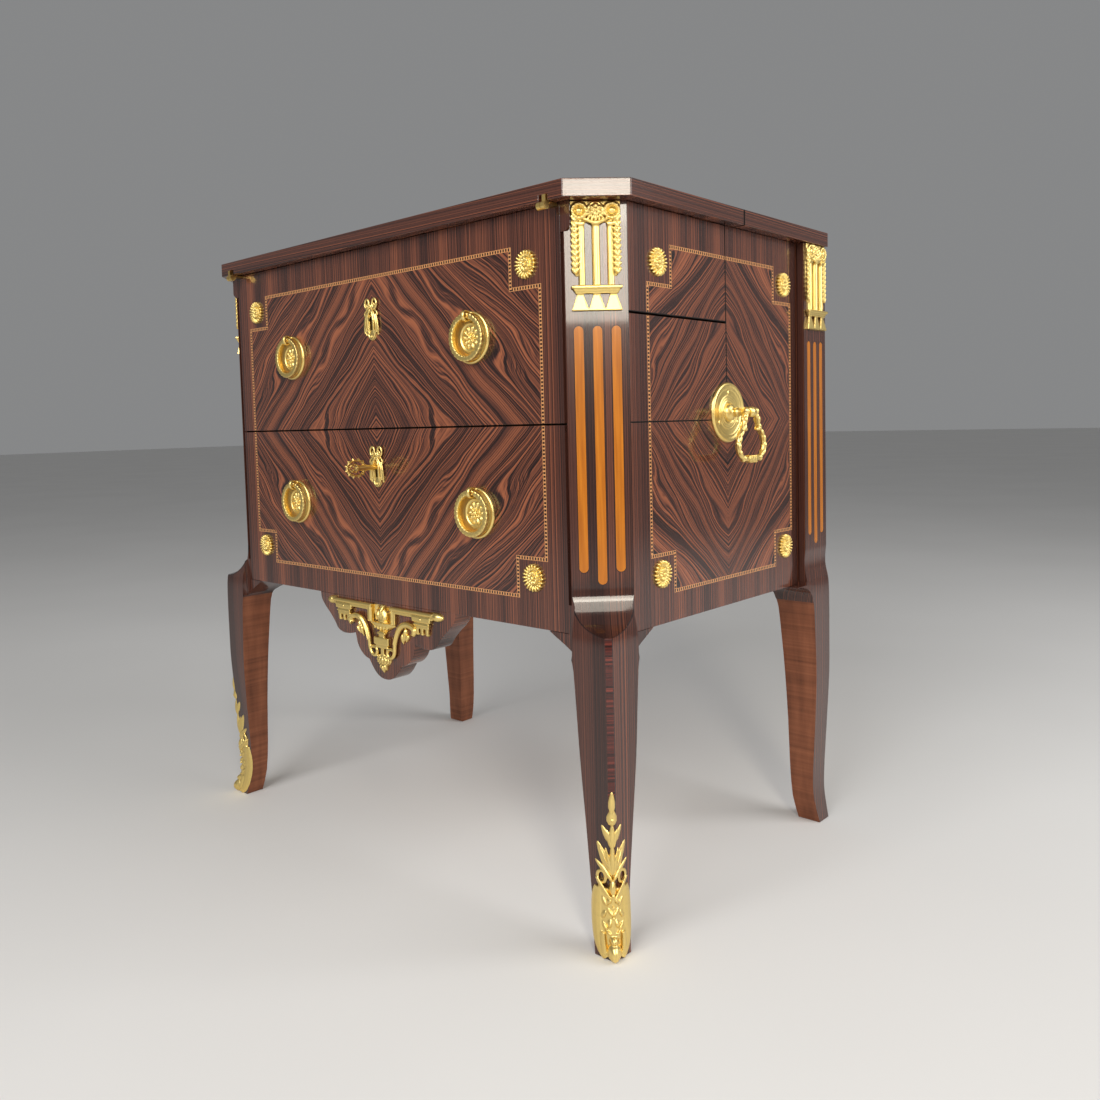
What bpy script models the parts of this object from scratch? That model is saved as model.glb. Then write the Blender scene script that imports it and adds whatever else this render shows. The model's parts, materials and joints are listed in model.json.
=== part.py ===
import math

import bpy
import bmesh
from mathutils import Matrix, Vector

for old in list(bpy.data.objects):
    bpy.data.objects.remove(old, do_unlink=True)

# Driving dimensions in metres. The origin is on the floor under the middle of the outside box.
# Case and top
CASE_W = 0.712
CASE_D = 0.456
CASE_FOOT = 0.326        # underside of the case, where the legs begin
TOP_UNDER = 0.762
TOP_T = 0.018
OVERHANG = 0.015
LEAF_CANT = 0.048        # canted corner of the leaf, along each edge
SPLIT_BACK = 0.018       # the leaf ends this far behind the middle of the case
SIDE_T = 0.018
FRONT_T = 0.024
BOARD_T = 0.012
SHELF_T = 0.008
BOTTOM_UP = 0.009        # bottom board above the underside of the case
BACK_INSET = 0.002
RAIL_H = 0.050
RAIL_T = 0.016
UPPER_H = 0.221          # upper drawer, from the underside of the top to the seam below it
SIDE_DRAWER_H = 0.110    # side drawers, likewise
DRAWER_SPACE = 0.042     # left free behind the front drawers
WALL_T = 0.010           # drawer box walls
FLOOR_T = 0.008          # drawer box bottoms
SIDE_BOX = 0.232
GAP = 0.0003             # between pieces that touch
REVEAL = 0.001           # half of a seam that shows
# Corner posts and legs
POST_CANT = 0.0445       # canted front corner of the case, along each face
STILE = 0.005            # dark groove between a front cant and the drawers
REAR_FACE = 0.0585       # rear posts: flat pilasters that face the sides
REAR_PROUD = 0.010       # and stand this far out of the side panels
REAR_STRIP = 0.003       # dark groove between a pilaster and the side panel
POST_IN = 0.070
REAR_LIP = 0.024
GROOVE = 0.0035
KNEE_OUT = 0.009
TOE_OUT = 0.006
FOOT_IN = 0.020
KNEE_IN = 0.0405
WING_REACH = 0.077
WING_H = 0.024
SHOULDER_H = 0.046
STOP_UP = 0.048          # hollow that ends the cant at the knee
STOP_H = 0.045
EAR_H = 0.0292
# Bronze on the corners and legs
CAP_H = 0.108
CAP_W = 0.051
SABOT_H = 0.174
SABOT_T = 0.0034
SABOT_HALF = 0.0212
SABOT_WRAP = 0.0265      # how far in the shoe covers each face of the leg
TOE_R = 0.009
# Fittings of the drawers
PULL_IN = 0.1317         # in from the end of a drawer front, as are the next two
ROSE_IN = 0.0472
HINGE_IN = 0.0087
PULL_R = 0.029
RING_R = 0.0233
RING_TUBE = 0.0036
PULL_UP_DROP = 0.124     # down from the underside of the top
LOCK_UP_DROP = 0.0885
ROSE_UP_DROP = 0.0555
PULL_LOW_DROP = 0.096    # down from the seam between the drawers
LOCK_LOW_DROP = 0.047
ROSE_LOW_RISE = 0.054    # up from the underside of the case
ROSE_R = 0.0145
LOCK_T = 0.0142
BOLT_HALF = 0.008
BOLT_T = 0.005
BOLT_L = 0.0228
STRIKE_H = 0.0085
KEY_OUT = 0.050
KEY_R = 0.0036
BOW_LONG = 0.015
BOW_TALL = 0.010
# Apron, hinges, leather and side handles
APRON_HALF = 0.1165
APRON_DROP = 0.097
APRON_T = 0.026
HINGE_R = 0.0041
HINGE_PIN_R = 0.0015
PLATE_T = 0.0028
PLATE_HALF = 0.0055
PLATE_L = 0.0185
LEATHER_T = 0.002
LEATHER_EDGE = 0.040
HANDLE_RISE = 0.0085     # up from the seam between the drawers
HANDLE_R = 0.0345
HANDLE_OUT = 0.031
BAIL_R = 0.0032
BAIL_W = 0.029
BAIL_H = 0.053

# Worked-out places: x from the middle, v from the front face of the case towards the back
HALF_W = CASE_W / 2
FRONT_Y = (KEY_OUT - CASE_D) / 2
BACK_Y = FRONT_Y + CASE_D
MID_V = CASE_D / 2
SPLIT_V = MID_V + SPLIT_BACK
TOP_Z = TOP_UNDER + TOP_T
TOP_HALF = HALF_W + OVERHANG
SEAT_Z = TOP_UNDER - GAP
POST_U = POST_CANT + STILE
DRAWER_HALF = HALF_W - POST_U - GAP
REAR_IN = REAR_FACE + REAR_STRIP + REAR_LIP
REAR_V = CASE_D - REAR_FACE - REAR_STRIP
BACK_V = CASE_D - BACK_INSET - BOARD_T
BOARD_V = FRONT_T + 5 * GAP
BOX_V = FRONT_T + GAP
BOTTOM_Z = CASE_FOOT + BOTTOM_UP + BOARD_T
DRAWER_GAP_Z = TOP_UNDER - UPPER_H
SIDE_SEAM_Z = TOP_UNDER - SIDE_DRAWER_H
DIVIDER_Z = DRAWER_GAP_Z - BOARD_T / 2
SHELF_Z = SIDE_SEAM_Z - REVEAL - SHELF_T
RAIL_Z = SEAT_Z - RAIL_H
APRON_Z = CASE_FOOT
PULL_X = DRAWER_HALF - PULL_IN
ROSE_X = DRAWER_HALF - ROSE_IN
HINGE_X = DRAWER_HALF - HINGE_IN
PULL_UP_Z = TOP_UNDER - PULL_UP_DROP
LOCK_UP_Z = TOP_UNDER - LOCK_UP_DROP
ROSE_UP_Z = TOP_UNDER - ROSE_UP_DROP
PULL_LOW_Z = DRAWER_GAP_Z - PULL_LOW_DROP
LOCK_LOW_Z = DRAWER_GAP_Z - LOCK_LOW_DROP
ROSE_LOW_Z = CASE_FOOT + ROSE_LOW_RISE
HANDLE_Z = DRAWER_GAP_Z + HANDLE_RISE
BOLT_V = FRONT_T + 0.0045
HINGE_V = -OVERHANG - 0.0005
HINGE_Z = TOP_UNDER - HINGE_R - 0.0004
RING_OUT = RING_TUBE + 0.0049

COL = bpy.data.collections.new("convertible_desk")
bpy.context.scene.collection.children.link(COL)
CUT = bpy.data.collections.new("cutters")
bpy.context.scene.collection.children.link(CUT)

SLOTS = {
    "rosewood": ((0.075, 0.030, 0.020, 1.0), 0.30, 0.0),
    "secondary_wood": ((0.230, 0.085, 0.040, 1.0), 0.55, 0.0),
    "gilt_bronze": ((0.830, 0.610, 0.200, 1.0), 0.28, 1.0),
    "brass": ((0.720, 0.520, 0.200, 1.0), 0.35, 1.0),
    "steel": ((0.420, 0.420, 0.430, 1.0), 0.40, 1.0),
    "leather": ((0.060, 0.110, 0.070, 1.0), 0.55, 0.0),
}
MATS = {}
for slot, (colour, rough, metal) in SLOTS.items():
    material = bpy.data.materials.new(slot)
    material.use_nodes = True
    shader = material.node_tree.nodes["Principled BSDF"]
    shader.inputs["Base Color"].default_value = colour
    shader.inputs["Roughness"].default_value = rough
    shader.inputs["Metallic"].default_value = metal
    MATS[slot] = material


# Modelling helpers
def y_at(v):
    return FRONT_Y + v


def place(ob, collection):
    for c in list(ob.users_collection):
        c.objects.unlink(ob)
    collection.objects.link(ob)
    return ob


def tidy(ob, matrix=None, flat=False):
    mesh = ob.data
    if matrix is not None:
        mesh.transform(matrix)
    bm = bmesh.new()
    bm.from_mesh(mesh)
    bmesh.ops.remove_doubles(bm, verts=bm.verts, dist=0.000002)
    if flat:
        bmesh.ops.dissolve_limit(bm, angle_limit=0.0005, verts=bm.verts, edges=bm.edges)
    bmesh.ops.recalc_face_normals(bm, faces=bm.faces)
    bm.to_mesh(mesh)
    bm.free()
    return ob


def axes(a, b, c, at):
    m = Matrix((a, b, c)).transposed().to_4x4()
    m.translation = Vector(at)
    return m


def from_curve(name, curve, matrix=None, flat=False):
    holder = bpy.data.objects.new(name + "_curve", curve)
    CUT.objects.link(holder)
    graph = bpy.context.evaluated_depsgraph_get()
    mesh = bpy.data.meshes.new_from_object(holder.evaluated_get(graph))
    bpy.data.objects.remove(holder, do_unlink=True)
    ob = bpy.data.objects.new(name, mesh)
    CUT.objects.link(ob)
    return tidy(ob, matrix, flat)


def box(name, x0, x1, y0, y1, z0, z1):
    bpy.ops.mesh.primitive_cube_add(size=1.0)
    ob = bpy.context.object
    ob.name = name
    size = Matrix.Diagonal((abs(x1 - x0), abs(y1 - y0), abs(z1 - z0), 1.0))
    middle = Vector((x0 + x1, y0 + y1, z0 + z1)) / 2
    ob.data.transform(Matrix.Translation(middle) @ size)
    return place(ob, CUT)


def prism(name, outline, depth, matrix):
    curve = bpy.data.curves.new(name, "CURVE")
    curve.dimensions = "2D"
    curve.fill_mode = "BOTH"
    curve.extrude = depth / 2
    spline = curve.splines.new("POLY")
    spline.points.add(len(outline) - 1)
    for point, (a, b) in zip(spline.points, outline):
        point.co = (a, b, 0.0, 1.0)
    spline.use_cyclic_u = True
    return from_curve(name, curve, matrix, True)


def front_prism(name, outline, y0, y1):
    middle = (0, (y0 + y1) / 2, 0)
    return prism(name, outline, abs(y1 - y0), axes((1, 0, 0), (0, 0, 1), (0, 1, 0), middle))


def side_prism(name, outline, x0, x1):
    middle = ((x0 + x1) / 2, 0, 0)
    return prism(name, outline, abs(x1 - x0), axes((0, 1, 0), (0, 0, 1), (1, 0, 0), middle))


def plan_prism(name, outline, z0, z1):
    middle = (0, 0, (z0 + z1) / 2)
    return prism(name, outline, z1 - z0, axes((1, 0, 0), (0, 1, 0), (0, 0, 1), middle))


def rod(name, points, radius, radii=None, cyclic=False):
    curve = bpy.data.curves.new(name, "CURVE")
    curve.dimensions = "3D"
    curve.bevel_depth = radius
    curve.bevel_resolution = 2
    curve.use_fill_caps = not cyclic
    curve.resolution_u = 2
    spline = curve.splines.new("BEZIER")
    spline.bezier_points.add(len(points) - 1)
    for i, co in enumerate(points):
        point = spline.bezier_points[i]
        point.co = co
        point.handle_left_type = "AUTO"
        point.handle_right_type = "AUTO"
        point.radius = radii[i] if radii else 1.0
    spline.use_cyclic_u = cyclic
    return from_curve(name, curve)


def cylinder(name, radius, length, matrix, sides=20):
    bpy.ops.mesh.primitive_cylinder_add(vertices=sides, radius=radius, depth=length)
    ob = bpy.context.object
    ob.name = name
    ob.data.transform(matrix)
    return place(ob, CUT)


def ball(name, radius, at, flatten):
    bpy.ops.mesh.primitive_uv_sphere_add(segments=10, ring_count=6, radius=radius)
    ob = bpy.context.object
    ob.name = name
    ob.data.transform(Matrix.Translation(at) @ Matrix.Diagonal((1.0, flatten, 1.0, 1.0)))
    return place(ob, CUT)


def torus(name, major, minor, matrix):
    bpy.ops.mesh.primitive_torus_add(major_radius=major, minor_radius=minor,
                                     major_segments=24, minor_segments=8)
    ob = bpy.context.object
    ob.name = name
    ob.data.transform(matrix)
    return place(ob, CUT)


def lathe(name, profile, matrix, steps):
    mesh = bpy.data.meshes.new(name)
    links = [(i, i + 1) for i in range(len(profile) - 1)]
    mesh.from_pydata([(r, 0.0, h) for r, h in profile], links, [])
    holder = bpy.data.objects.new(name + "_profile", mesh)
    CUT.objects.link(holder)
    screw = holder.modifiers.new("turn", "SCREW")
    screw.axis = "Z"
    screw.steps = steps
    screw.render_steps = steps
    screw.use_merge_vertices = True
    screw.merge_threshold = 0.00002
    graph = bpy.context.evaluated_depsgraph_get()
    turned = bpy.data.meshes.new_from_object(holder.evaluated_get(graph))
    bpy.data.objects.remove(holder, do_unlink=True)
    ob = bpy.data.objects.new(name, turned)
    CUT.objects.link(ob)
    return tidy(ob, matrix)


def combine(ob, tool, operation):
    tool.hide_render = True
    tool.display_type = "WIRE"
    mod = ob.modifiers.new(tool.name, "BOOLEAN")
    mod.operation = operation
    mod.solver = "EXACT"
    mod.object = tool
    return ob


def join(ob, *tools):
    for tool in tools:
        combine(ob, tool, "UNION")
    return ob


def cut(ob, *tools):
    for tool in tools:
        combine(ob, tool, "DIFFERENCE")
    return ob


def node(ob, name, slot, body=None):
    ob.name = name
    ob.data.name = name
    ob.data.materials.clear()
    ob.data.materials.append(MATS[slot])
    place(ob, COL)
    if body is not None:
        ob.parent = body
        ob.matrix_parent_inverse = body.matrix_world.inverted()
    return ob


def pivot(name, at, parent=None):
    empty = bpy.data.objects.new(name, None)
    empty.empty_display_size = 0.03
    COL.objects.link(empty)
    empty.location = at
    bpy.context.view_layer.update()
    if parent is not None:
        empty.parent = parent
        empty.matrix_parent_inverse = parent.matrix_world.inverted()
        bpy.context.view_layer.update()
    return empty


def smooth_line(points, count):
    out = []
    padded = [points[0]] + list(points) + [points[-1]]
    for i in range(1, len(padded) - 2):
        p0, p1, p2, p3 = padded[i - 1:i + 3]
        for k in range(count):
            t = k / count
            out.append(tuple(0.5 * (2 * b + (c - a) * t + (2 * a - 5 * b + 4 * c - d) * t * t
                                    + (3 * b - a - 3 * c + d) * t * t * t)
                             for a, b, c, d in zip(p0, p1, p2, p3)))
    out.append(tuple(points[-1]))
    return out


def mirrored(right):
    # a whole outline from its right half, whose ends may lie on the middle line
    left = [(-a, b) for a, b in reversed(right) if abs(a) > 0.000001]
    return list(right) + left


TO_FRONT = axes((1, 0, 0), (0, 0, 1), (0, -1, 0), (0, 0, 0))
ACROSS = Matrix.Rotation(math.pi / 2, 4, "Y")
SIDES = ((-1, "left"), (1, "right"))

# Leg in one view: height up the leg as a share of it, with how far its outer edge stands out of the
# case and how far its inner edge has widened from the foot to the knee
LEG_OUTER = [(CASE_FOOT * share, out) for share, out in (
    (0.000, TOE_OUT), (0.037, 0.67 * TOE_OUT), (0.123, 0.0002), (0.233, 0.11 * KNEE_OUT),
    (0.420, 0.556 * KNEE_OUT), (0.614, 0.944 * KNEE_OUT), (0.767, KNEE_OUT), (0.905, KNEE_OUT),
    (1.000, 0.89 * KNEE_OUT))]
LEG_OUTER += [(CASE_FOOT + SHOULDER_H / 2, 0.39 * KNEE_OUT), (CASE_FOOT + SHOULDER_H, 0.0)]
LEG_INNER = [(CASE_FOOT * share, FOOT_IN + (KNEE_IN - FOOT_IN) * widened) for share, widened in (
    (0.000, 0.0), (0.092, 0.27), (0.233, 0.39), (0.420, 0.46), (0.614, 0.585), (0.767, 0.73), (0.890, 0.87))]
LEG_INNER += [(CASE_FOOT - WING_H, KNEE_IN)]
# The rear legs follow their proud pilasters at the sides, and are flat behind
REAR_OUTER = [(z, out + REAR_PROUD / 2) for z, out in LEG_OUTER[:-1]] + [(CASE_FOOT + SHOULDER_H, REAR_PROUD)]
FLAT_OUTER = [(0.0, 0.0), (CASE_FOOT + SHOULDER_H, 0.0)]


def leg_outline(inner_width, outer=LEG_OUTER, skin=0.0, deeper=0.0):
    under = CASE_FOOT - 3 * GAP
    edge = [(-out - skin, z) for z, out in smooth_line(outer, 3)]
    inner = [(u + deeper, z) for z, u in smooth_line(LEG_INNER, 2)]
    knee = KNEE_IN + deeper
    wing = []
    for k in range(1, 6):
        turn = math.radians(90 * k / 5)
        wing.append((knee + (WING_REACH - KNEE_IN) * (1 - math.cos(turn)),
                     CASE_FOOT - WING_H + (WING_H - 3 * GAP) * math.sin(turn)))
    top = [(inner_width, under), (inner_width, SEAT_Z), (edge[-1][0], SEAT_Z)]
    return inner + wing + top + edge[::-1]


def corner_frame(sx, front, along=0.0, out=0.0, z=0.0):
    # frame on a corner's show face: first axis along the face, second up, third out of it
    if front:
        normal = Vector((sx, -1.0, 0.0)).normalized()
        middle = Vector((sx * (HALF_W - POST_CANT / 2), y_at(POST_CANT / 2), z))
    else:
        normal = Vector((sx, 0.0, 0.0))
        middle = Vector((sx * (HALF_W + REAR_PROUD), BACK_Y - REAR_FACE / 2, z))
    tangent = Vector((0, 0, 1)).cross(normal)
    return axes(tangent, (0, 0, 1), normal, middle + tangent * along + normal * out)


def crossed(name, face, flank, reach):
    # a solid with one outline seen from the front and another seen from the side
    xs = [x for x, z in face]
    ys = [y for y, z in flank]
    ob = front_prism(name, face, min(ys) - reach, max(ys) + reach)
    return combine(ob, side_prism(name + "_flank", flank, min(xs) - reach, max(xs) + reach), "INTERSECT")


def seat(ob, name, sx, y0, y1):
    # rebate that takes the end of the side panel, or of the side drawer front
    cut(ob, box(name + "_seat", sx * (HALF_W + 0.03), sx * (HALF_W - SIDE_T - GAP), y0, y1, CASE_FOOT - GAP, TOP_Z))


def rear_post(sx, name):
    face = [(sx * (HALF_W - u), z) for u, z in leg_outline(POST_U, REAR_OUTER)]
    flank = [(BACK_Y - v, z) for v, z in leg_outline(REAR_IN, FLAT_OUTER, 0.0, REAR_PROUD / 2)]
    ob = crossed(name, face, flank, 0.01)
    seat(ob, name, sx, BACK_Y - 0.2, BACK_Y - REAR_FACE - REAR_STRIP)
    cut(ob, box(name + "_groove", sx * (HALF_W + 0.03), sx * (HALF_W - GROOVE), BACK_Y - 0.2, BACK_Y - REAR_FACE,
                CASE_FOOT + GROOVE, TOP_Z))
    return node(ob, name, "rosewood")


def front_post(sx, name):
    def px(u):
        return sx * (HALF_W - u)

    face = [(px(u), z) for u, z in leg_outline(POST_U)]
    flank = [(y_at(v), z) for v, z in leg_outline(POST_IN)]
    ob = crossed(name, face, flank, 0.01)
    # the canted corner, ended at the knee by a hollow
    lean = POST_CANT / math.sqrt(2) + KNEE_OUT * math.sqrt(2)
    stop_z = CASE_FOOT + STOP_UP
    stop = [(0.0, TOP_Z), (0.0, stop_z)]
    for k in range(1, 9):
        turn = math.radians(90 * k / 8)
        stop.append((lean * (1 - math.cos(turn)), stop_z - STOP_H * math.sin(turn)))
    stop += [(3 * lean, stop_z - STOP_H), (3 * lean, TOP_Z)]
    across = corner_frame(sx, True)
    turned = axes(across.col[2].xyz, (0, 0, 1), across.col[0].xyz, across.translation)
    cut(ob, prism(name + "_cant", stop, 0.16, turned))
    seat(ob, name, sx, y_at(POST_CANT), y_at(0.2))
    # stopped groove beside the drawers, and the block above it that reaches the corner mount
    ear_z = SEAT_Z - EAR_H
    cut(ob, box(name + "_groove", px(POST_CANT + 0.0008), px(POST_U + 0.02), y_at(-0.02), y_at(GROOVE),
                CASE_FOOT + 0.03, ear_z + 0.0005))
    ear = [(px(POST_U), SEAT_Z), (px(POST_CANT - 0.0123), SEAT_Z), (px(POST_CANT - 0.0123), ear_z + 0.0085),
           (px(POST_CANT - 0.0020), ear_z), (px(POST_U), ear_z)]
    block = front_prism(name + "_ear", ear, y_at(0.0), y_at(0.012))
    keep = box(name + "_earkeep", -0.02, 0.02, -1.0, 1.0, -0.02, 0.02)
    keep.data.transform(corner_frame(sx, True, -sx * (CAP_W / 2 + GAP + 0.02)))
    combine(block, tidy(keep), "INTERSECT")
    join(ob, block)
    return node(ob, name, "rosewood")


def capital(sx, front, name):
    base = corner_frame(sx, front, 0.0, GAP, SEAT_Z - CAP_H)
    half = CAP_W / 2
    bar_pitch = 0.29 * CAP_W
    gutta_pitch = CAP_W / 3

    def slab(tag, s0, s1, z0, z1, thick, back=0.0):
        ob = box(name + tag, s0, s1, z0, z1, back, thick)
        return tidy(ob, base)

    def boss(tag, s, down, radius, thick):
        at = base @ Matrix.Translation((s, CAP_H - down, thick / 2 + 0.0012))
        return cylinder(name + tag, radius, thick, at, 18)

    ob = slab("_plate", -half + 0.0028, half - 0.0028, CAP_H - 0.018, CAP_H, 0.0040)
    for k in (-1, 0, 1):
        bar = k * bar_pitch
        join(ob, slab("_bar%d" % k, bar - 0.0042, bar + 0.0042, 0.022, CAP_H - 0.016, 0.0034, 0.0004))
        foot = k * gutta_pitch
        gutta = [(foot - 0.0046, 0.0185), (foot + 0.0046, 0.0185), (foot + 0.0082, 0.0), (foot - 0.0082, 0.0)]
        join(ob, prism(name + "_gutta%d" % k, gutta, 0.0050, base @ Matrix.Translation((0, 0, 0.0031))))
    for k in (-1, 1):
        husk = k * 0.408 * CAP_W
        join(ob, slab("_husk%d" % k, husk - 0.0027, husk + 0.0027, 0.036, CAP_H - 0.015, 0.0046, 0.0008))
        join(ob, boss("_volute%d" % k, k * 0.337 * CAP_W, 0.0098, 0.0078, 0.0064))
    join(ob, boss("_rose", 0.0, 0.0109, 0.0102, 0.0076))
    join(ob, slab("_cornice", -half, half, 0.0168, 0.0240, 0.0072))
    return node(ob, name, "gilt_bronze")


# Leaf-shaped shoe on a front leg: shares of its half width, at shares of its height
SABOT_LEAF = [(0.90, 0.017), (1.00, 0.115), (0.98, 0.431), (0.825, 0.494), (0.73, 0.575), (0.78, 0.644),
              (0.54, 0.678), (0.64, 0.776), (0.40, 0.805), (0.45, 0.868), (0.236, 0.879), (0.245, 0.937),
              (0.085, 1.0)]


def sabot(sx, name):
    def shell(tag, skin, v_in, v_out):
        outline = leg_outline(POST_U, LEG_OUTER, skin)
        ob = front_prism(name + tag, [(sx * (HALF_W - u), z) for u, z in outline], y_at(-v_out), y_at(v_in))
        flank = [(y_at(v), z) for v, z in outline]
        side = side_prism(name + tag + "_flank", flank, sx * (HALF_W + v_out), sx * (HALF_W - v_in))
        return combine(ob, side, "INTERSECT")

    ob = shell("_skin", SABOT_T, SABOT_WRAP, 0.04)
    shape = mirrored([(SABOT_HALF * wide, SABOT_H * high) for wide, high in SABOT_LEAF])
    combine(ob, prism(name + "_leaf", shape, 0.16, corner_frame(sx, True)), "INTERSECT")
    corner = POST_CANT / math.sqrt(2) + TOE_OUT * math.sqrt(2)
    toe_at = corner_frame(sx, True, 0.0, corner + SABOT_T, 1.4 * TOE_R) @ ACROSS
    join(ob, cylinder(name + "_toe", TOE_R, 0.94 * SABOT_HALF, toe_at))
    cut(ob, shell("_core", GAP, 0.12, 0.08))
    return node(ob, name, "gilt_bronze")


def corners():
    for sx, side in SIDES:
        front_post(sx, "post_front_" + side)
        rear_post(sx, "post_rear_" + side)
        capital(sx, True, "capital_front_" + side)
        capital(sx, False, "capital_rear_" + side)
        sabot(sx, "sabot_front_" + side)


def side_panels():
    v0 = POST_CANT + GAP
    v1 = REAR_V - GAP
    outline = [(v0, CASE_FOOT), (v1, CASE_FOOT), (v1, SEAT_Z), (MID_V, SEAT_Z),
               (MID_V, DRAWER_GAP_Z), (v0, DRAWER_GAP_Z)]
    for sx, side in SIDES:
        x_out = sx * HALF_W
        x_in = sx * (HALF_W - SIDE_T)
        panel = side_prism("panel", [(y_at(v), z) for v, z in outline], x_in, x_out)
        node(panel, "side_panel_" + side, "rosewood")
        filler = box("filler", x_in, x_out, y_at(v0), y_at(MID_V - GAP), DRAWER_GAP_Z + GAP, SIDE_SEAM_Z - REVEAL)
        node(filler, "side_filler_" + side, "rosewood")


def case_board(name, z0, thick):
    wide = HALF_W - SIDE_T - GAP
    narrow = HALF_W - POST_U - GAP
    z1 = z0 + thick
    ob = box(name, -wide, wide, y_at(BOARD_V), y_at(BACK_V - GAP), z0, z1)
    for sx, side in SIDES:
        cut(ob, box(name + "_front_notch", sx * narrow, sx * (wide + 0.05), y_at(-0.05), y_at(POST_IN + GAP),
                    z0 - 0.02, z1 + 0.02))
        cut(ob, box(name + "_rear_notch", sx * narrow, sx * (wide + 0.05), BACK_Y - REAR_IN - GAP, BACK_Y + 0.05,
                    z0 - 0.02, z1 + 0.02))
    return node(ob, name, "secondary_wood")


def strike(name, z):
    # pocket that a lock's bolt rises into
    play = BOLT_HALF + 0.0008
    return box(name, -play, play, y_at(BOLT_V - 0.0007), y_at(BOLT_V + BOLT_T + 0.0007), z - 0.01, z + STRIKE_H)


def case_boards():
    case_board("bottom_board", CASE_FOOT + BOTTOM_UP, BOARD_T)
    cut(case_board("divider_board", DIVIDER_Z, BOARD_T), strike("divider_strike", DIVIDER_Z))
    case_board("shelf_board", SHELF_Z, SHELF_T)
    rail = box("rail", -DRAWER_HALF, DRAWER_HALF, y_at(BOARD_V), y_at(BOARD_V + RAIL_T), RAIL_Z, SEAT_Z - GAP)
    cut(rail, strike("rail_strike", RAIL_Z))
    node(rail, "front_rail", "secondary_wood")
    wide = HALF_W - SIDE_T - GAP
    behind = MID_V + 0.0005
    upright = box("upright", -wide, wide, y_at(behind), y_at(behind + BOARD_T),
                  SHELF_Z + SHELF_T + GAP, SEAT_Z - GAP)
    node(upright, "upright_board", "secondary_wood")
    back = box("back", -DRAWER_HALF, DRAWER_HALF, y_at(BACK_V), y_at(BACK_V + BOARD_T), CASE_FOOT, SEAT_Z - GAP)
    node(back, "back_panel", "secondary_wood")
    top = box("top", -TOP_HALF, TOP_HALF, y_at(SPLIT_V + REVEAL / 2), BACK_Y, TOP_UNDER, TOP_Z)
    node(top, "rear_top", "rosewood")


def leaf(body):
    front = y_at(-OVERHANG)
    back = y_at(SPLIT_V - REVEAL / 2)
    right = [(TOP_HALF - LEAF_CANT, front), (TOP_HALF, front + LEAF_CANT), (TOP_HALF, back)]
    ob = plan_prism("leaf_blank", mirrored(right), TOP_UNDER, TOP_Z)
    half = HALF_W - SIDE_T - LEATHER_EDGE
    y0 = y_at(POST_IN + 0.012)
    y1 = y_at(MID_V - 0.018)
    cut(ob, box("leather_bed", -half - GAP, half + GAP, y0 - GAP, y1 + GAP,
                TOP_UNDER - 0.01, TOP_UNDER + LEATHER_T + GAP))
    for sx, side in SIDES:
        cut(ob, box("leaf_notch_" + side, sx * HINGE_X - PLATE_HALF - GAP, sx * HINGE_X + PLATE_HALF + GAP,
                    front - 0.01, front + HINGE_R + 0.0011, TOP_UNDER - 0.01, TOP_UNDER + 0.0064))
    node(ob, "leaf", "rosewood", body)
    leather = box("leather", -half, half, y0, y1, TOP_UNDER + 0.0002, TOP_UNDER + LEATHER_T)
    node(leather, "leaf_leather", "leather", body)


def hinges(plate_body, leaf_body):
    # a plate let into the drawer front with its pin, and a tongue let into the leaf
    y = y_at(HINGE_V)
    top = SEAT_Z - GAP
    for sx, side in SIDES:
        def hx(a):
            return sx * (HINGE_X + a)

        def roll(name, radius, length, a, sides):
            return cylinder(name, radius, length, Matrix.Translation((hx(a), y, HINGE_Z)) @ ACROSS, sides)

        plate = box("hinge_plate", hx(-PLATE_HALF), hx(PLATE_HALF), y, y_at(PLATE_L), top - PLATE_T, top - GAP / 3)
        cut(plate, box("plate_clear", hx(-0.0002), hx(0.02), y - 0.02, y + HINGE_R + 0.0006, HINGE_Z - 0.02, TOP_Z))
        join(plate, roll("hinge_barrel", HINGE_R, 0.0052, -0.0029, 20))
        join(plate, roll("hinge_pin", HINGE_PIN_R, 0.0104, 0.0, 14))
        node(plate, "hinge_plate_" + side, "brass", plate_body)
        tongue = roll("hinge_tongue", HINGE_R, 0.0050, 0.0027, 20)
        join(tongue, box("tongue_leaf", hx(0.0004), hx(0.0050), y - 0.0012, y + 0.0040,
                         HINGE_Z + 0.0020, TOP_UNDER + 0.0060))
        cut(tongue, roll("tongue_bore", HINGE_PIN_R + GAP, 0.03, 0.0, 14))
        node(tongue, "hinge_tongue_" + side, "brass", leaf_body)


def keyhole(name, z, y0, y1):
    r = KEY_R + GAP
    slit = 0.0020
    foot = z - 0.0125
    outline = [(r * math.cos(math.radians(a)), z + r * math.sin(math.radians(a))) for a in range(-60, 241, 20)]
    return front_prism(name, outline + [(-slit, foot), (slit, foot)], y0, y1)


def drawer(level, z0, z1, box_z0, box_z1, lock_z, body):
    front = box("front", -DRAWER_HALF, DRAWER_HALF, y_at(0), y_at(FRONT_T), z0, z1)
    cut(front, keyhole(level + "_keyhole", lock_z, y_at(-0.02), y_at(0.05)))
    half = DRAWER_HALF - 0.006
    v1 = BACK_V - DRAWER_SPACE
    tray = box("tray", -half, half, y_at(BOX_V), y_at(v1), box_z0, box_z1)
    cut(tray, box(level + "_inside", WALL_T - half, half - WALL_T, y_at(BOX_V - 0.02), y_at(v1 - WALL_T),
                  box_z0 + FLOOR_T, box_z1 + 0.02))
    node(tray, level + "_drawer_box", "secondary_wood", body)
    return node(front, level + "_drawer_front", "rosewood", body)


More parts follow.
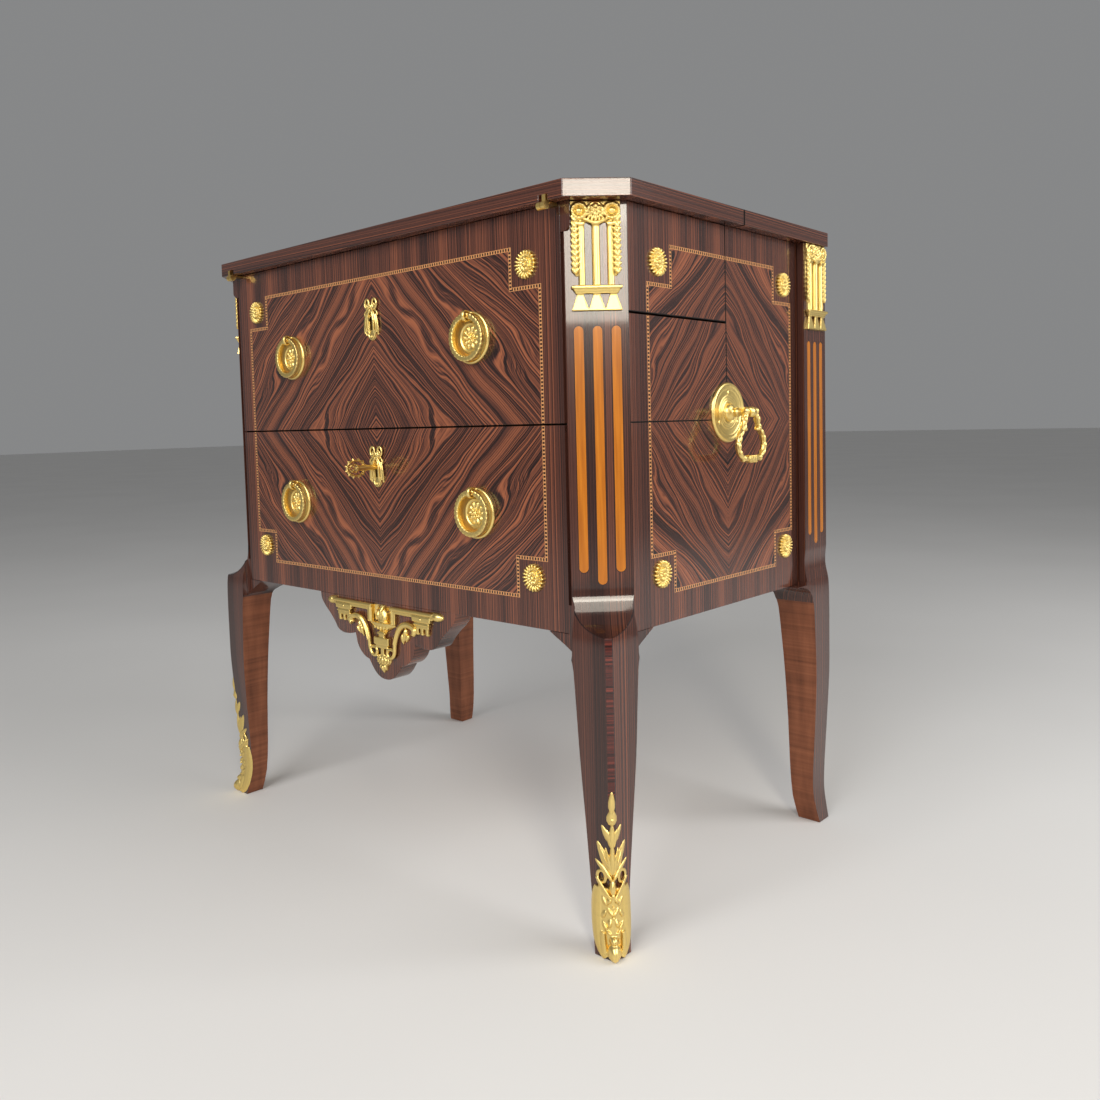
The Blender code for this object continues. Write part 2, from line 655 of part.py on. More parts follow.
# Turned outlines from the middle outwards: radius and height off the board
PULL_PROFILE = [(0.0, 0.0), (PULL_R, 0.0), (PULL_R, 0.0022), (PULL_R - 0.0012, 0.0036), (PULL_R - 0.0032, 0.0030),
                (PULL_R - 0.0045, 0.0016), (0.0172, 0.0014), (0.0164, 0.0034), (0.0150, 0.0044), (0.0132, 0.0032),
                (0.0112, 0.0032), (0.0098, 0.0056), (0.0, 0.0070)]
ROSE_PROFILE = [(0.0, 0.0), (ROSE_R, 0.0), (ROSE_R, 0.0012), (ROSE_R - 0.002, 0.0030), (0.0075, 0.0042),
                (0.0050, 0.0034), (0.0038, 0.0052), (0.0, 0.0060)]
HANDLE_PROFILE = [(0.0, 0.0), (HANDLE_R, 0.0), (HANDLE_R, 0.0024), (HANDLE_R - 0.0020, 0.0038), (0.0250, 0.0030),
                  (0.0222, 0.0048), (0.0200, 0.0040), (0.0125, 0.0052), (0.0105, 0.0090), (0.0075, 0.0110),
                  (0.0048, 0.0130), (0.0040, HANDLE_OUT - 0.011), (0.0044, HANDLE_OUT - 0.005),
                  (0.0, HANDLE_OUT - 0.0048)]


def pull(sx, z, tag, body):
    # a turned plate with an eye, and the ring that hangs in the eye
    x = sx * PULL_X
    y = y_at(-GAP - RING_OUT)
    eye_z = z + RING_R
    eye_at = Matrix.Translation((x, y, eye_z)) @ ACROSS
    bore = RING_TUBE + 3 * GAP
    plate = lathe("plate_" + tag, PULL_PROFILE, Matrix.Translation((x, y_at(-GAP), z)) @ TO_FRONT, 20)
    root = box("root_" + tag, x - 0.00375, x + 0.00375, y, y_at(-GAP - 0.0008), eye_z - 0.0050, eye_z + 0.0040)
    join(plate, root, cylinder("eye_" + tag, bore + 0.0019, 0.0075, eye_at))
    cut(plate, cylinder("bore_" + tag, bore, 0.03, eye_at))
    node(plate, "pull_plate_" + tag, "gilt_bronze", body)
    swing = pivot("pull_swing_" + tag, (x, y, eye_z), body)
    upright = Matrix.Translation((x, y, z)) @ Matrix.Rotation(math.pi / 2, 4, "X")
    node(torus("ring_" + tag, RING_R, RING_TUBE, upright), "pull_ring_" + tag, "gilt_bronze", swing)


def escutcheon(name, z, body):
    right = [(0.0, -0.0262), (0.0060, -0.0235), (0.0092, -0.0165), (0.0122, -0.0175), (0.0142, -0.0130),
             (0.0128, -0.0040), (0.0112, 0.0040), (0.0130, 0.0078), (0.0105, 0.0105), (0.0118, 0.0180),
             (0.0098, 0.0245), (0.0058, 0.0255), (0.0022, 0.0205), (0.0, 0.0195)]
    ob = front_prism(name + "_blank", [(x, z + up) for x, up in mirrored(right)], y_at(-GAP - 0.0036), y_at(-GAP))
    cut(ob, keyhole(name + "_hole", z, y_at(-0.03), y_at(0.01)))
    for sx, side in SIDES:
        loop = Matrix.Translation((sx * 0.0070, y_at(0), z + 0.0195)) @ TO_FRONT
        cut(ob, cylinder(name + "_loop_" + side, 0.0026, 0.03, loop, 12))
    node(ob, name, "gilt_bronze", body)


def lock(level, key_z, top_z, body):
    name = "lock_" + level
    bolt_y0 = y_at(BOLT_V)
    bolt_y1 = y_at(BOLT_V + BOLT_T)
    play = GAP + 0.0001
    ob = box(name + "_case", -0.030, 0.030, y_at(BOX_V), y_at(BOX_V + LOCK_T), key_z - 0.018, top_z)
    cut(ob, box(name + "_slot", -BOLT_HALF - play, BOLT_HALF + play, bolt_y0 - play, bolt_y1 + play,
                top_z - BOLT_L + 0.0004, top_z + 0.02))
    ward_at = Matrix.Translation((0, y_at(BOX_V + 0.004), key_z)) @ TO_FRONT
    cut(ob, cylinder(name + "_ward", 0.0105, 0.0105, ward_at, 24))
    node(ob, name, "brass", body)
    throw = pivot("bolt_throw_" + level, (0, bolt_y0, top_z), body)
    bolt = box("bolt", -BOLT_HALF, BOLT_HALF, bolt_y0, bolt_y1, top_z + 0.0008 - BOLT_L, top_z + 0.0008)
    node(bolt, "bolt_" + level, "steel", throw)


def key(z, body):
    turn = pivot("key_turn", (0, y_at(-0.01), z), body)
    bow_y = y_at(-KEY_OUT + 1.2 * BOW_LONG)
    shank_y0 = bow_y + 0.86 * BOW_LONG
    shank_y1 = y_at(FRONT_T + 0.0085)

    def along(y):
        return Matrix.Translation((0, y, z)) @ TO_FRONT

    ob = cylinder("key_shank", KEY_R, shank_y1 - shank_y0, along((shank_y0 + shank_y1) / 2), 16)
    bow = torus("key_bow", 1.0, 0.2, Matrix.Diagonal((BOW_LONG, BOW_TALL, 0.0110, 1.0)))
    tidy(bow, axes((0, 1, 0), (0, 0, 1), (1, 0, 0), (0, bow_y, z)))
    collar = cylinder("key_collar", KEY_R + 0.0014, 0.0050, along(bow_y + BOW_LONG + 0.0020), 18)
    web = box("key_web", -0.0012, 0.0012, bow_y - BOW_LONG, bow_y + BOW_LONG, z - 0.0016, z + 0.0016)
    bit = box("key_bit", -0.0012, 0.0012, y_at(FRONT_T + 0.0018), y_at(FRONT_T + 0.0078), z - 0.0092, z)
    join(ob, collar, bow, web, bit)
    node(ob, "key", "brass", turn)


def apron(body):
    # outlines here are shares of the apron's half width and of its drop
    def spot(a, d):
        return (APRON_HALF * a, APRON_Z - APRON_DROP * d)

    def outline(shares, sx=1):
        return [(sx * x, z) for x, z in (spot(a, d) for a, d in shares)]

    edge = [(1, 0), (0.974, 0.144), (0.910, 0.289), (0.845, 0.418), (0.747, 0.479), (0.631, 0.485), (0.489, 0.454),
            (0.446, 0.474), (0.412, 0.567), (0.352, 0.670), (0.283, 0.732), (0.219, 0.778), (0.193, 0.856),
            (0.120, 0.954), (0, 1)]
    board = front_prism("apron_board", mirrored(outline(edge)), y_at(0), y_at(APRON_T))
    node(board, "apron", "rosewood", body)
    face = y_at(-GAP)

    def relief(tag, points, thick):
        return front_prism("mount_" + tag, points, face - thick, face)

    mount = relief("bowl", mirrored(outline([(0.266, 0.253), (0.206, 0.340), (0.086, 0.397)])), 0.0060)
    join(mount, relief("stem", mirrored(outline([(0.0515, 0.371), (0.0515, 0.567)])), 0.0050))
    join(mount, relief("plinth", mirrored(outline([(0.112, 0.541), (0.112, 0.670)])), 0.0055))
    drop = [(0.034, 0.649), (0.090, 0.742), (0.073, 0.835), (0.0, 0.923)]
    join(mount, relief("drop", mirrored(outline(drop)), 0.0062))
    flame = [(0.0, 0.040), (0.045, 0.090), (0.078, 0.180), (0.069, 0.268)]
    join(mount, relief("flame", mirrored(outline(flame)), 0.0064))
    bar = [(0.223, 0.046), (0.944, 0.046), (0.944, 0.119), (0.279, 0.119), (0.279, 0.289), (0.223, 0.289)]
    block = [(0.721, 0.103), (0.897, 0.103), (0.876, 0.268), (0.742, 0.268)]
    arm = [(0.755, 0.242), (0.575, 0.211), (0.395, 0.361), (0.283, 0.577), (0.180, 0.680), (0.086, 0.629)]
    for sx, side in SIDES:
        join(mount, relief("bar_" + side, outline(bar, sx), 0.0052))
        join(mount, relief("block_" + side, outline(block, sx), 0.0058))
        knob_x, knob_z = spot(0.9485, 0.0825)
        join(mount, ball("mount_knob_" + side, 0.0052, (sx * knob_x, face - 0.0030, knob_z), 0.55))
        route = [(x, face - 0.0032, z) for x, z in outline(arm, sx)]
        join(mount, rod("mount_arm_" + side, route, 0.0030))
    node(mount, "apron_mount", "gilt_bronze", body)


def side_drawer(sx, side):
    slide = pivot("side_drawer_" + side, (sx * HALF_W, y_at(MID_V / 2), SIDE_SEAM_Z))
    x_in = HALF_W - SIDE_T
    front = box("side_front", sx * HALF_W, sx * x_in, y_at(POST_CANT + 2 * GAP), y_at(MID_V - 0.0008),
                SIDE_SEAM_Z + REVEAL, SEAT_Z - GAP)
    node(front, "side_drawer_front_" + side, "rosewood", slide)
    x_end = x_in - SIDE_BOX
    y0 = y_at(POST_IN + 5 * GAP)
    y1 = y_at(MID_V - 4 * GAP)
    z0 = SHELF_Z + SHELF_T + GAP
    z1 = SEAT_Z - 0.006
    wall = 0.8 * WALL_T
    tray = box("side_tray", sx * (x_in - GAP), sx * x_end, y0, y1, z0, z1)
    cut(tray, box("side_tray_inside", sx * (x_in + 0.02), sx * (x_end + wall), y0 + wall, y1 - wall,
                  z0 + 0.75 * FLOOR_T, z1 + 0.02))
    node(tray, "side_drawer_box_" + side, "secondary_wood", slide)


def side_handle(sx, side):
    y = y_at(MID_V)
    x_eye = sx * (HALF_W + HANDLE_OUT)
    out = axes((0, sx, 0), (0, 0, 1), (sx, 0, 0), (sx * (HALF_W + GAP), y, HANDLE_Z))
    plate = lathe("handle_plate", HANDLE_PROFILE, out, 20)
    along = axes((1, 0, 0), (0, 0, -1), (0, 1, 0), (x_eye, y, HANDLE_Z))
    bore = BAIL_R + 0.0010
    join(plate, cylinder("handle_eye_" + side, bore + 0.0030, 0.0100, along))
    cut(plate, cylinder("handle_bore_" + side, bore, 0.05, along))
    node(plate, "handle_plate_" + side, "gilt_bronze")
    swing = pivot("handle_swing_" + side, (x_eye, y, HANDLE_Z))
    # stirrup in shares of its half width and height, with a heavier grip at the foot
    right = [(0.345, 0.0), (0.448, 0.113), (0.517, 0.283), (0.862, 0.491), (1.0, 0.717), (0.828, 0.943),
             (0.414, 1.0)]
    loop = [(0.0, 0.0)] + right + [(0.0, 1.0)] + [(-a, d) for a, d in reversed(right)]
    points = [(x_eye, y + BAIL_W * a, HANDLE_Z - BAIL_H * d) for a, d in loop]
    radii = [1.0 + 0.25 * max(0.0, d - 0.4) for a, d in loop]
    node(rod("bail", points, BAIL_R, radii, True), "handle_bail_" + side, "gilt_bronze", swing)


corners()
side_panels()
case_boards()

upper_body = pivot("upper_drawer", (0, FRONT_Y, DRAWER_GAP_Z))
lower_body = pivot("lower_drawer", (0, FRONT_Y, CASE_FOOT))
leaf_body = pivot("leaf_swing", (0, y_at(HINGE_V), HINGE_Z), upper_body)
leaf(leaf_body)
upper_front = drawer("upper", DRAWER_GAP_Z + REVEAL, SEAT_Z - GAP, DIVIDER_Z + BOARD_T + GAP, SHELF_Z - 0.003,
                     LOCK_UP_Z, upper_body)
for sx, side in SIDES:
    cut(upper_front, box("plate_bed_" + side, sx * HINGE_X - PLATE_HALF - GAP, sx * HINGE_X + PLATE_HALF + GAP,
                         y_at(-0.02), y_at(PLATE_L + 0.0005), SEAT_Z - PLATE_T - 2 * GAP, TOP_Z))
hinges(upper_body, leaf_body)
drawer("lower", CASE_FOOT + GAP, DRAWER_GAP_Z - REVEAL, BOTTOM_Z + GAP, DIVIDER_Z - 0.018, LOCK_LOW_Z, lower_body)
apron(lower_body)

for level, body, pull_z, rose_z, lock_z, strike_z in (
        ("upper", upper_body, PULL_UP_Z, ROSE_UP_Z, LOCK_UP_Z, RAIL_Z),
        ("lower", lower_body, PULL_LOW_Z, ROSE_LOW_Z, LOCK_LOW_Z, DIVIDER_Z)):
    for sx, side in SIDES:
        pull(sx, pull_z, level + "_" + side, body)
        rose_at = Matrix.Translation((sx * ROSE_X, y_at(-GAP), rose_z)) @ TO_FRONT
        node(lathe("rose", ROSE_PROFILE, rose_at, 16), "rosette_%s_%s" % (level, side), "gilt_bronze", body)
    escutcheon("escutcheon_" + level, lock_z, body)
    lock(level, lock_z, strike_z - 0.0018, body)
key(LOCK_LOW_Z, lower_body)

for sx, side in SIDES:
    side_drawer(sx, side)
    side_handle(sx, side)

for tool in CUT.objects:
    tool.hide_render = True
    tool.display_type = "WIRE"
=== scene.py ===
# %% [markdown]
# # A convertible desk veneered in rosewood
# The desk is a small chest of two drawers. The front half of its top folds forward on two pin hinges and
# becomes a writing leaf. The imported solids are the fixed frame: each piece made here lies on a solid and
# moves with it. The box of the solids is kept.

# %% Load the frame
import json
import math

import bpy
from mathutils import Matrix, Vector


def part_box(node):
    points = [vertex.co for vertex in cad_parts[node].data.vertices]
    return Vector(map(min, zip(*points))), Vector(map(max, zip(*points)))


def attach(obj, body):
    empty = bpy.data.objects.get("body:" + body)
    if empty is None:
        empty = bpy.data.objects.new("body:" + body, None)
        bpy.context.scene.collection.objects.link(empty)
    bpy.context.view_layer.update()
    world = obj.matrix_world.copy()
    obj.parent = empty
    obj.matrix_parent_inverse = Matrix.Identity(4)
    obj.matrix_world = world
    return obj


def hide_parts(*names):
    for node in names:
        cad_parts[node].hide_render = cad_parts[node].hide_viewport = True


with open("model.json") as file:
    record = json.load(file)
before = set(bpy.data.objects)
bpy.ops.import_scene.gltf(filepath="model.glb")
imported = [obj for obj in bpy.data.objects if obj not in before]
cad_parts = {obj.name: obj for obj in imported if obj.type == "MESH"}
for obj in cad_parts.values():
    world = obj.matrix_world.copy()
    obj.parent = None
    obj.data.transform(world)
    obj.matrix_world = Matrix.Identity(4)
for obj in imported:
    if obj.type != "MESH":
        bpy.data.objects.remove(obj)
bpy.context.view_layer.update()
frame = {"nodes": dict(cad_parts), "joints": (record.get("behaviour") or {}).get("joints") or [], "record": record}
nodes = frame["nodes"]
body_of = {node: body for body, members in frame["record"]["behaviour"]["bodies"].items() for node in members}
bpy.ops.object.select_all(action="DESELECT")

# %% [markdown]
# The main planes are read from the solids: the drawer fronts, the side panels, the foot of the case, the
# seam between the drawers and the flat pilasters at the back. Patterns and mounts are set out from them.

# %% Main planes of the desk
MM = 0.001
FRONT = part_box("upper_drawer_front")[0].y
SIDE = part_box("side_panel_right")[1].x
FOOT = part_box("lower_drawer_front")[0].z
SEAM = (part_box("upper_drawer_front")[0].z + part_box("lower_drawer_front")[1].z) / 2
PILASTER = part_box("capital_rear_right")[0].x
PILASTER_Y = sum(corner.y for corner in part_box("capital_rear_right")) / 2
MIDDLE_Y = sum(corner.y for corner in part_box("handle_plate_right")) / 2
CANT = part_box("side_panel_right")[0].y - FRONT
SIDES = ((-1, "left"), (1, "right"))
print("front %.4f side %.4f seam %.4f cant %.4f" % (FRONT, SIDE, SEAM, CANT))

# %% [markdown]
# The camera stands where the photographer stood, a little above the middle of the desk and turned 42 degrees
# to its left. The angles and the focal length were found by fitting the corners of the desk to the picture.

# %% Camera
CAMERA_AT = (0.9415, -0.9312, 0.5430)
YAW, PITCH, ROLL = math.radians(42.367), math.radians(-3.786), math.radians(-1.450)
FOCAL_PX, PHOTO_PX, SENSOR_MM = 953.46, 1100.0, 36.0
forward = Vector((-math.sin(YAW) * math.cos(PITCH), math.cos(YAW) * math.cos(PITCH), math.sin(PITCH)))
level = Vector((math.cos(YAW), math.sin(YAW), 0.0))
upward = level.cross(forward)
right = math.cos(ROLL) * level + math.sin(ROLL) * upward
up = -math.sin(ROLL) * level + math.cos(ROLL) * upward
bpy.ops.object.camera_add(location=CAMERA_AT)
camera = bpy.context.object
camera.name = "camera"
camera.rotation_euler = Matrix((right, up, -forward)).transposed().to_euler()
camera.data.sensor_width = SENSOR_MM
camera.data.lens = FOCAL_PX * SENSOR_MM / PHOTO_PX
camera.data.shift_x = 0.0046
camera.data.shift_y = -0.0583
bpy.context.scene.camera = camera
print("camera lens %.2f mm" % camera.data.lens)

# %% [markdown]
# Shader sums are written as plain expressions. One small class holds a socket: adding or multiplying two of
# them adds Math nodes, and every other node comes from its make method.

# %% A socket that takes part in sums
class Tone:
    def __init__(self, tree, socket):
        self.tree, self.socket = tree, socket

    def make(self, kind, settings=None, inputs=None, out=0):
        node = self.tree.nodes.new("ShaderNode" + kind)
        for key, value in (settings or {}).items():
            if key == "stops":
                ramp = node.color_ramp.elements
                while len(ramp) < len(value):
                    ramp.new(0.5)
                for stop, (place, colour) in zip(ramp, value):
                    stop.position, stop.color = place, (*colour, 1.0)
            else:
                setattr(node, key, value)
        for key, value in (inputs or {}).items():
            if isinstance(value, Tone):
                self.tree.links.new(value.socket, node.inputs[key])
            else:
                node.inputs[key].default_value = value
        return Tone(self.tree, node.outputs[out])

    def sum(self, operation, *values):
        return self.make("Math", {"operation": operation}, dict(enumerate(values)))

    def __add__(self, other):
        return self.sum("ADD", self, other)

    def __sub__(self, other):
        return self.sum("SUBTRACT", self, other)

    def __rsub__(self, other):
        return self.sum("SUBTRACT", other, self)

    def __mul__(self, other):
        return self.sum("MULTIPLY", self, other)

    def __truediv__(self, other):
        return self.sum("DIVIDE", self, other)

    def __abs__(self):
        return self.sum("ABSOLUTE", self)

    def __lt__(self, other):
        return self.sum("LESS_THAN", self, other)

    def __gt__(self, other):
        return self.sum("GREATER_THAN", self, other)

    __radd__, __rmul__ = __add__, __mul__

    def least(self, other):
        return self.sum("MINIMUM", self, other)

    def most(self, other):
        return self.sum("MAXIMUM", self, other)

    def between(self, low, high):
        return self.make("MapRange", {"interpolation_type": "SMOOTHSTEP"},
                         {"Value": self, "From Min": low, "From Max": high})

    def parts(self):
        split = self.make("SeparateXYZ", {}, {0: self}).socket.node
        return [Tone(self.tree, socket) for socket in split.outputs]

    def point(self, x, y, z):
        return self.make("CombineXYZ", {}, {0: x, 1: y, 2: z})

    def cloud(self, scale, detail=2.0, rough=0.5):
        return self.make("TexNoise", {"noise_dimensions": "3D"},
                         {"Vector": self, "Scale": scale, "Detail": detail, "Roughness": rough})

    def lines(self, detail=3.0, rough=0.6):
        return self.make("TexNoise", {"noise_dimensions": "1D"},
                         {"W": self, "Scale": 1.0, "Detail": detail, "Roughness": rough})

    def ramp(self, *stops):
        return self.make("ValToRGB", {"stops": stops}, {0: self})

    def painted(self, colour, mask):
        """This colour with another one, a socket or three numbers, over it where the mask is 1."""
        top = colour if isinstance(colour, Tone) else (*colour, 1.0)
        return self.make("Mix", {"data_type": "RGBA"}, {0: mask, 6: self, 7: top}, 2)


def finish(name, **constants):
    """A material with a Principled shader. Returns it with its Object coordinates and surface normal."""
    material = bpy.data.materials.new(name)
    material.use_nodes = True
    tree = material.node_tree
    shader = tree.nodes["Principled BSDF"]
    for key, value in constants.items():
        shader.inputs[key.replace("_", " ")].default_value = value
    start = Tone(tree, shader.outputs[0])
    return material, start.make("TexCoord", out=3), start.make("NewGeometry", out=1)


def wire(material, bump=None, strength=0.3, distance=0.0004, **tones):
    shader = material.node_tree.nodes["Principled BSDF"]
    for key, tone in tones.items():
        tone.tree.links.new(tone.socket, shader.inputs[key.replace("_", " ")])
    if bump is not None:
        normal = bump.make("Bump", {}, {"Strength": strength, "Distance": distance, "Height": bump})
        bump.tree.links.new(normal.socket, shader.inputs["Normal"])
    return material


print("shader helpers ready")

# %% [markdown]
# Rosewood is a dark red-brown wood with nearly black growth lines of uneven spacing and lighter orange lines
# between them. The lines are a one-way noise, so that no two gaps are alike, and a slower one darkens whole
# bands. Two slow noises bend the way across the lines, which closes them into the long loops of a sawn
# sheet. Pores are short dark dashes along the grain.

# %% Rosewood figure
NIGHT = (0.013, 0.0050, 0.0040)
DARK = (0.040, 0.0140, 0.0100)
BROWN = (0.088, 0.0290, 0.0180)
ORANGE = (0.200, 0.0620, 0.0300)
STREAK = (0.300, 0.0950, 0.0420)
LACQUER = {"Roughness": 0.24, "Specular_IOR_Level": 0.30, "Coat_Weight": 0.6, "Coat_Roughness": 0.05}


def rosewood(across, along, seed, pitch=330.0, bend=0.0, loops=(6.0, 18.0), deep=0.0, contrast=1.0):
    """Colour and height of rosewood: lines run along one value and follow each other across the other."""
    if bend:
        slow = across.point(along * loops[0], across * loops[1], seed).cloud(1.0, 1.0, 0.45)
        ripple = across.point(along * 24.0, across * 62.0, seed + 5.0).cloud(1.0, 1.0)
        path = across + (slow - 0.5) * bend + (ripple - 0.5) * 0.005
    else:
        slow = across.point(along * 2.0, across * 40.0, seed).cloud(1.0, 1.0)
        path = across + (slow - 0.5) * 0.004
    bands = (path * 34.0 + seed).lines(1.0, 0.5)
    fine = (path * pitch + 3.0 * seed).lines(1.6, 0.75)
    thin = ((path + across * 0.5) * (1.7 * pitch) + 5.0 * seed).lines(1.0, 0.6)
    growth = ((fine - 0.5) * 0.80 + (thin - 0.5) * 0.42 + (bands - 0.5) * 0.46) * contrast + (0.5 - deep)
    pores = across.point(along * 55.0, path * 1500.0, seed).cloud(1.0, 1.0, 0.5).between(0.60, 0.72)
    colour = growth.ramp((0.31, NIGHT), (0.42, DARK), (0.50, BROWN), (0.60, ORANGE), (0.76, STREAK))
    return colour.painted(NIGHT, pores * 0.38), growth - pores * 0.5


print("rosewood colours", NIGHT, STREAK)

# %% [markdown]
# The stringing is a flat inlay about 4 mm wide: two pale lines with a row of dark squares between them. It
# runs round each face as a frame whose corners step inwards round the rosettes. Its line is found from two
# distances, one to the frame and one to the notch, so the same sum serves the front and the sides.

# %% Stringing
STRING_W, STRING_PITCH, NOTCH = 0.0040, 0.0039, 0.0418
SQUARE_RUN, SQUARE_REACH = 0.27, 0.36  # half a square, of the pitch and of the width
PALE = (0.54, 0.25, 0.095)
SQUARE = (0.020, 0.007, 0.004)


def stringing(a, b, half_a, half_b):
    """Masks of the band, its dark squares and all outside it, from distances to the frame's middle."""
    rim = (a - half_a).most(b - half_b)
    notch = (a - (half_a - NOTCH)).least(b - (half_b - NOTCH))
    edge = rim.most(notch)
    band = abs(edge) < STRING_W / 2
    level_run = (abs(b - half_b) < STRING_W / 2).most(
        (abs(b - (half_b - NOTCH)) < STRING_W / 2) * (a > half_a - NOTCH + STRING_W / 2))
    run = (a * level_run + b * (1 - level_run)) / STRING_PITCH
    step = run.sum("PINGPONG", run, 0.5)
    squares = (step < SQUARE_RUN) * (abs(edge) < STRING_W * SQUARE_REACH)
    return band, squares, edge > 0


print("stringing %.1f mm wide" % (STRING_W / MM))

# %% [markdown]
# The show faces are quartered: four sheets cut from one block are turned so that their lines meet in
# diamonds. Folding the face about its middle lines gives the same result. Outside the stringing the grain
# stands upright. On the sides, dark lines are painted along the joints round the little drawer.

# %% Quartered veneer of the front and the sides
STRING_MID = 0.5418
LEAN = math.radians(47)
HALF_FRONT, HALF_SIDE, HALF_HIGH = 0.277, 0.1507, 0.1832
DRAWER_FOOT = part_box("side_drawer_front_right")[0].z
FILLER_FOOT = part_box("side_filler_right")[0].z
JOINT = (0.006, 0.003, 0.002)


def quartered(name, wide_axis, middle, half_wide, half_high, seed, bend, contrast, joints=False):
    material, place, _ = finish(name, **LACQUER)
    xyz = place.parts()
    z = xyz[2]
    wide = xyz[wide_axis] - middle
    a, b = abs(wide), abs(z - SEAM)
    across = a * math.cos(LEAN) + b * math.sin(LEAN)
    along = a * -math.sin(LEAN) + b * math.cos(LEAN)
    field, height = rosewood(across, along, seed, bend=bend, contrast=contrast)
    border, border_height = rosewood(wide + 0.5, z, seed + 4.0, pitch=560.0, deep=0.015, contrast=0.62)
    band, squares, outside = stringing(a, abs(z - STRING_MID), half_wide, half_high)
    colour = field.painted(border, outside).painted(PALE, band).painted(SQUARE, band * squares)
    if joints:
        upright = (abs(wide) < 0.0011) * (z > FILLER_FOOT)
        level = (abs(z - FILLER_FOOT) < 0.0008).most(abs(z - DRAWER_FOOT) < 0.0010) * (wide < 0.0)
        joint = upright.most(level)
        colour = colour.painted(JOINT, joint)
        wire(material, Roughness=joint * 0.5 + LACQUER["Roughness"],
             Coat_Weight=(1 - joint) * LACQUER["Coat_Weight"])
    relief = height * (1 - outside) + border_height * outside
    return wire(material, relief, 0.10, 0.0002, Base_Color=colour)


front_veneer = quartered("rosewood_front", 0, 0.0, HALF_FRONT, HALF_HIGH, 2.0, 0.062, 1.12)
side_veneer = quartered("rosewood_side", 1, MIDDLE_Y, HALF_SIDE, HALF_HIGH, 7.0, 0.078, 0.95, True)
print("joints at z %.3f and %.3f" % (DRAWER_FOOT, FILLER_FOOT))

# %% [markdown]
# The corner posts carry three upright bands of orange wood let into the dark veneer, with round ends and a
# thin black outline: they imitate flutes. The middle one reaches lower. Each is the distance to a line with
# round ends, so a mask is one comparison.

# %% Inlaid flutes
FLUTE_TOP, FLUTE_FOOT, MIDDLE_DROP, FLUTE_LINE = 0.6385, 0.3895, 0.0127, 0.0007
FLUTES_FRONT, FLUTES_REAR = (0.0190, 0.00475), (0.0165, 0.0042)  # pitch and half width


def capsule(across, z, half, low, high):
    rise = z - z.most(low + half).least(high - half)
    square = across * across + rise * rise
    return square.sum("POWER", square, 0.5) - half


def three_flutes(across, z, pitch, half):
    outer = capsule(abs(across) - pitch, z, half, FLUTE_FOOT, FLUTE_TOP)
    middle = capsule(across, z, half, FLUTE_FOOT - MIDDLE_DROP, FLUTE_TOP)
    return outer.least(middle)


print("flutes from z %.4f to %.4f" % (FLUTE_FOOT, FLUTE_TOP))

# %% [markdown]
# Below the case the inner faces of the legs are plain red-brown wood, and a narrow cherry-red strip with its
# grain across runs down the corner. The hollow that ends the canted face is painted darker as painted shade,
# and a black line of painted shade runs along its edge.
# Which face a point lies on is told by the way the surface faces, and by which side of the desk it is on.

# %% Posts and legs
STOP_TOP, STOP_TIP, STOP_DEEP = 0.374, 0.329, 0.0442
STRIP_HALF, STRIP_FOOT = 0.0046, 0.150
post_wood, place, normal = finish("rosewood_post", **LACQUER)
x, y, z = place.parts()
nx, ny, nz = normal.parts()
outward = nx * x.sum("SIGN", x)
rear = y > 0.0
cant_across = (abs(x) - (SIDE - CANT / 2) + (y - (FRONT + CANT / 2))) / math.sqrt(2)
flutes = (three_flutes(cant_across, z, *FLUTES_FRONT) * (1 - rear)
          + three_flutes(y - PILASTER_Y, z, *FLUTES_REAR) * rear)
on_cant = ((outward > 0.5) * (ny < -0.5) * (1 - rear)).most((outward > 0.9) * rear)
grain, grain_height = rosewood(abs(x) + y * 0.9 + 0.5, z, 11.0, pitch=420.0, deep=0.050, contrast=0.50)
faces_in = (outward < -0.35).most((ny > 0.35) * (1 - rear)).most((ny < -0.35) * rear)
inner_face = faces_in * (z < FOOT - 0.026)
sawn = x.point(x * 60.0, y * 60.0, z * 9.0).cloud(1.0, 3.0, 0.6)
marks = x.point(x * 4.0, y * 4.0, z * 260.0).cloud(1.0, 2.0)
brown = (sawn * 0.55 + marks * 0.45).ramp((0.30, (0.100, 0.030, 0.012)), (0.50, (0.195, 0.064, 0.028)),
                                          (0.72, (0.290, 0.104, 0.048)))
faces_corner = (outward > 0.3) * (ny < -0.3)
strip = (abs(cant_across) < STRIP_HALF) * (z > STRIP_FOOT) * (z < STOP_TIP + 0.002) * faces_corner
cherry = (z * 260.0).lines(3.0, 0.7).ramp((0.34, (0.016, 0.003, 0.002)), (0.52, (0.060, 0.010, 0.007)),
                                          (0.72, (0.17, 0.030, 0.018)))
streaks = x.point(x * 300.0, y * 300.0, z * 14.0).cloud(1.0, 2.0)
orange = streaks.ramp((0.25, (0.33, 0.092, 0.004)), (0.75, (0.52, 0.170, 0.010)))
fall = ((STOP_TOP - z) / (STOP_TOP - STOP_TIP)).most(0.0).least(1.0)
level_share = 1 - fall * fall
hollow = (1 - level_share.sum("SQRT", level_share)) * STOP_DEEP
beyond = (abs(x) - SIDE + (FRONT - y) + CANT) / math.sqrt(2) - hollow
in_stop = ((outward > 0.08) * (ny < -0.08)).most(nz > 0.3)
near_stop = (z > STOP_TIP - 0.003) * (1 - rear)
# Painted shade: the hollow is painted darker below its top, and a black line of painted shade runs along its rim.
hollow_shade_band = (1 - z.between(STOP_TOP - 0.002, STOP_TOP + 0.016)) * near_stop
hollow_rim_shade = (beyond > -0.0012) * (1 - in_stop) * (z < STOP_TOP + 0.002) * near_stop
colour = grain.painted(NIGHT, (hollow_shade_band * in_stop * 0.40).most(hollow_rim_shade))
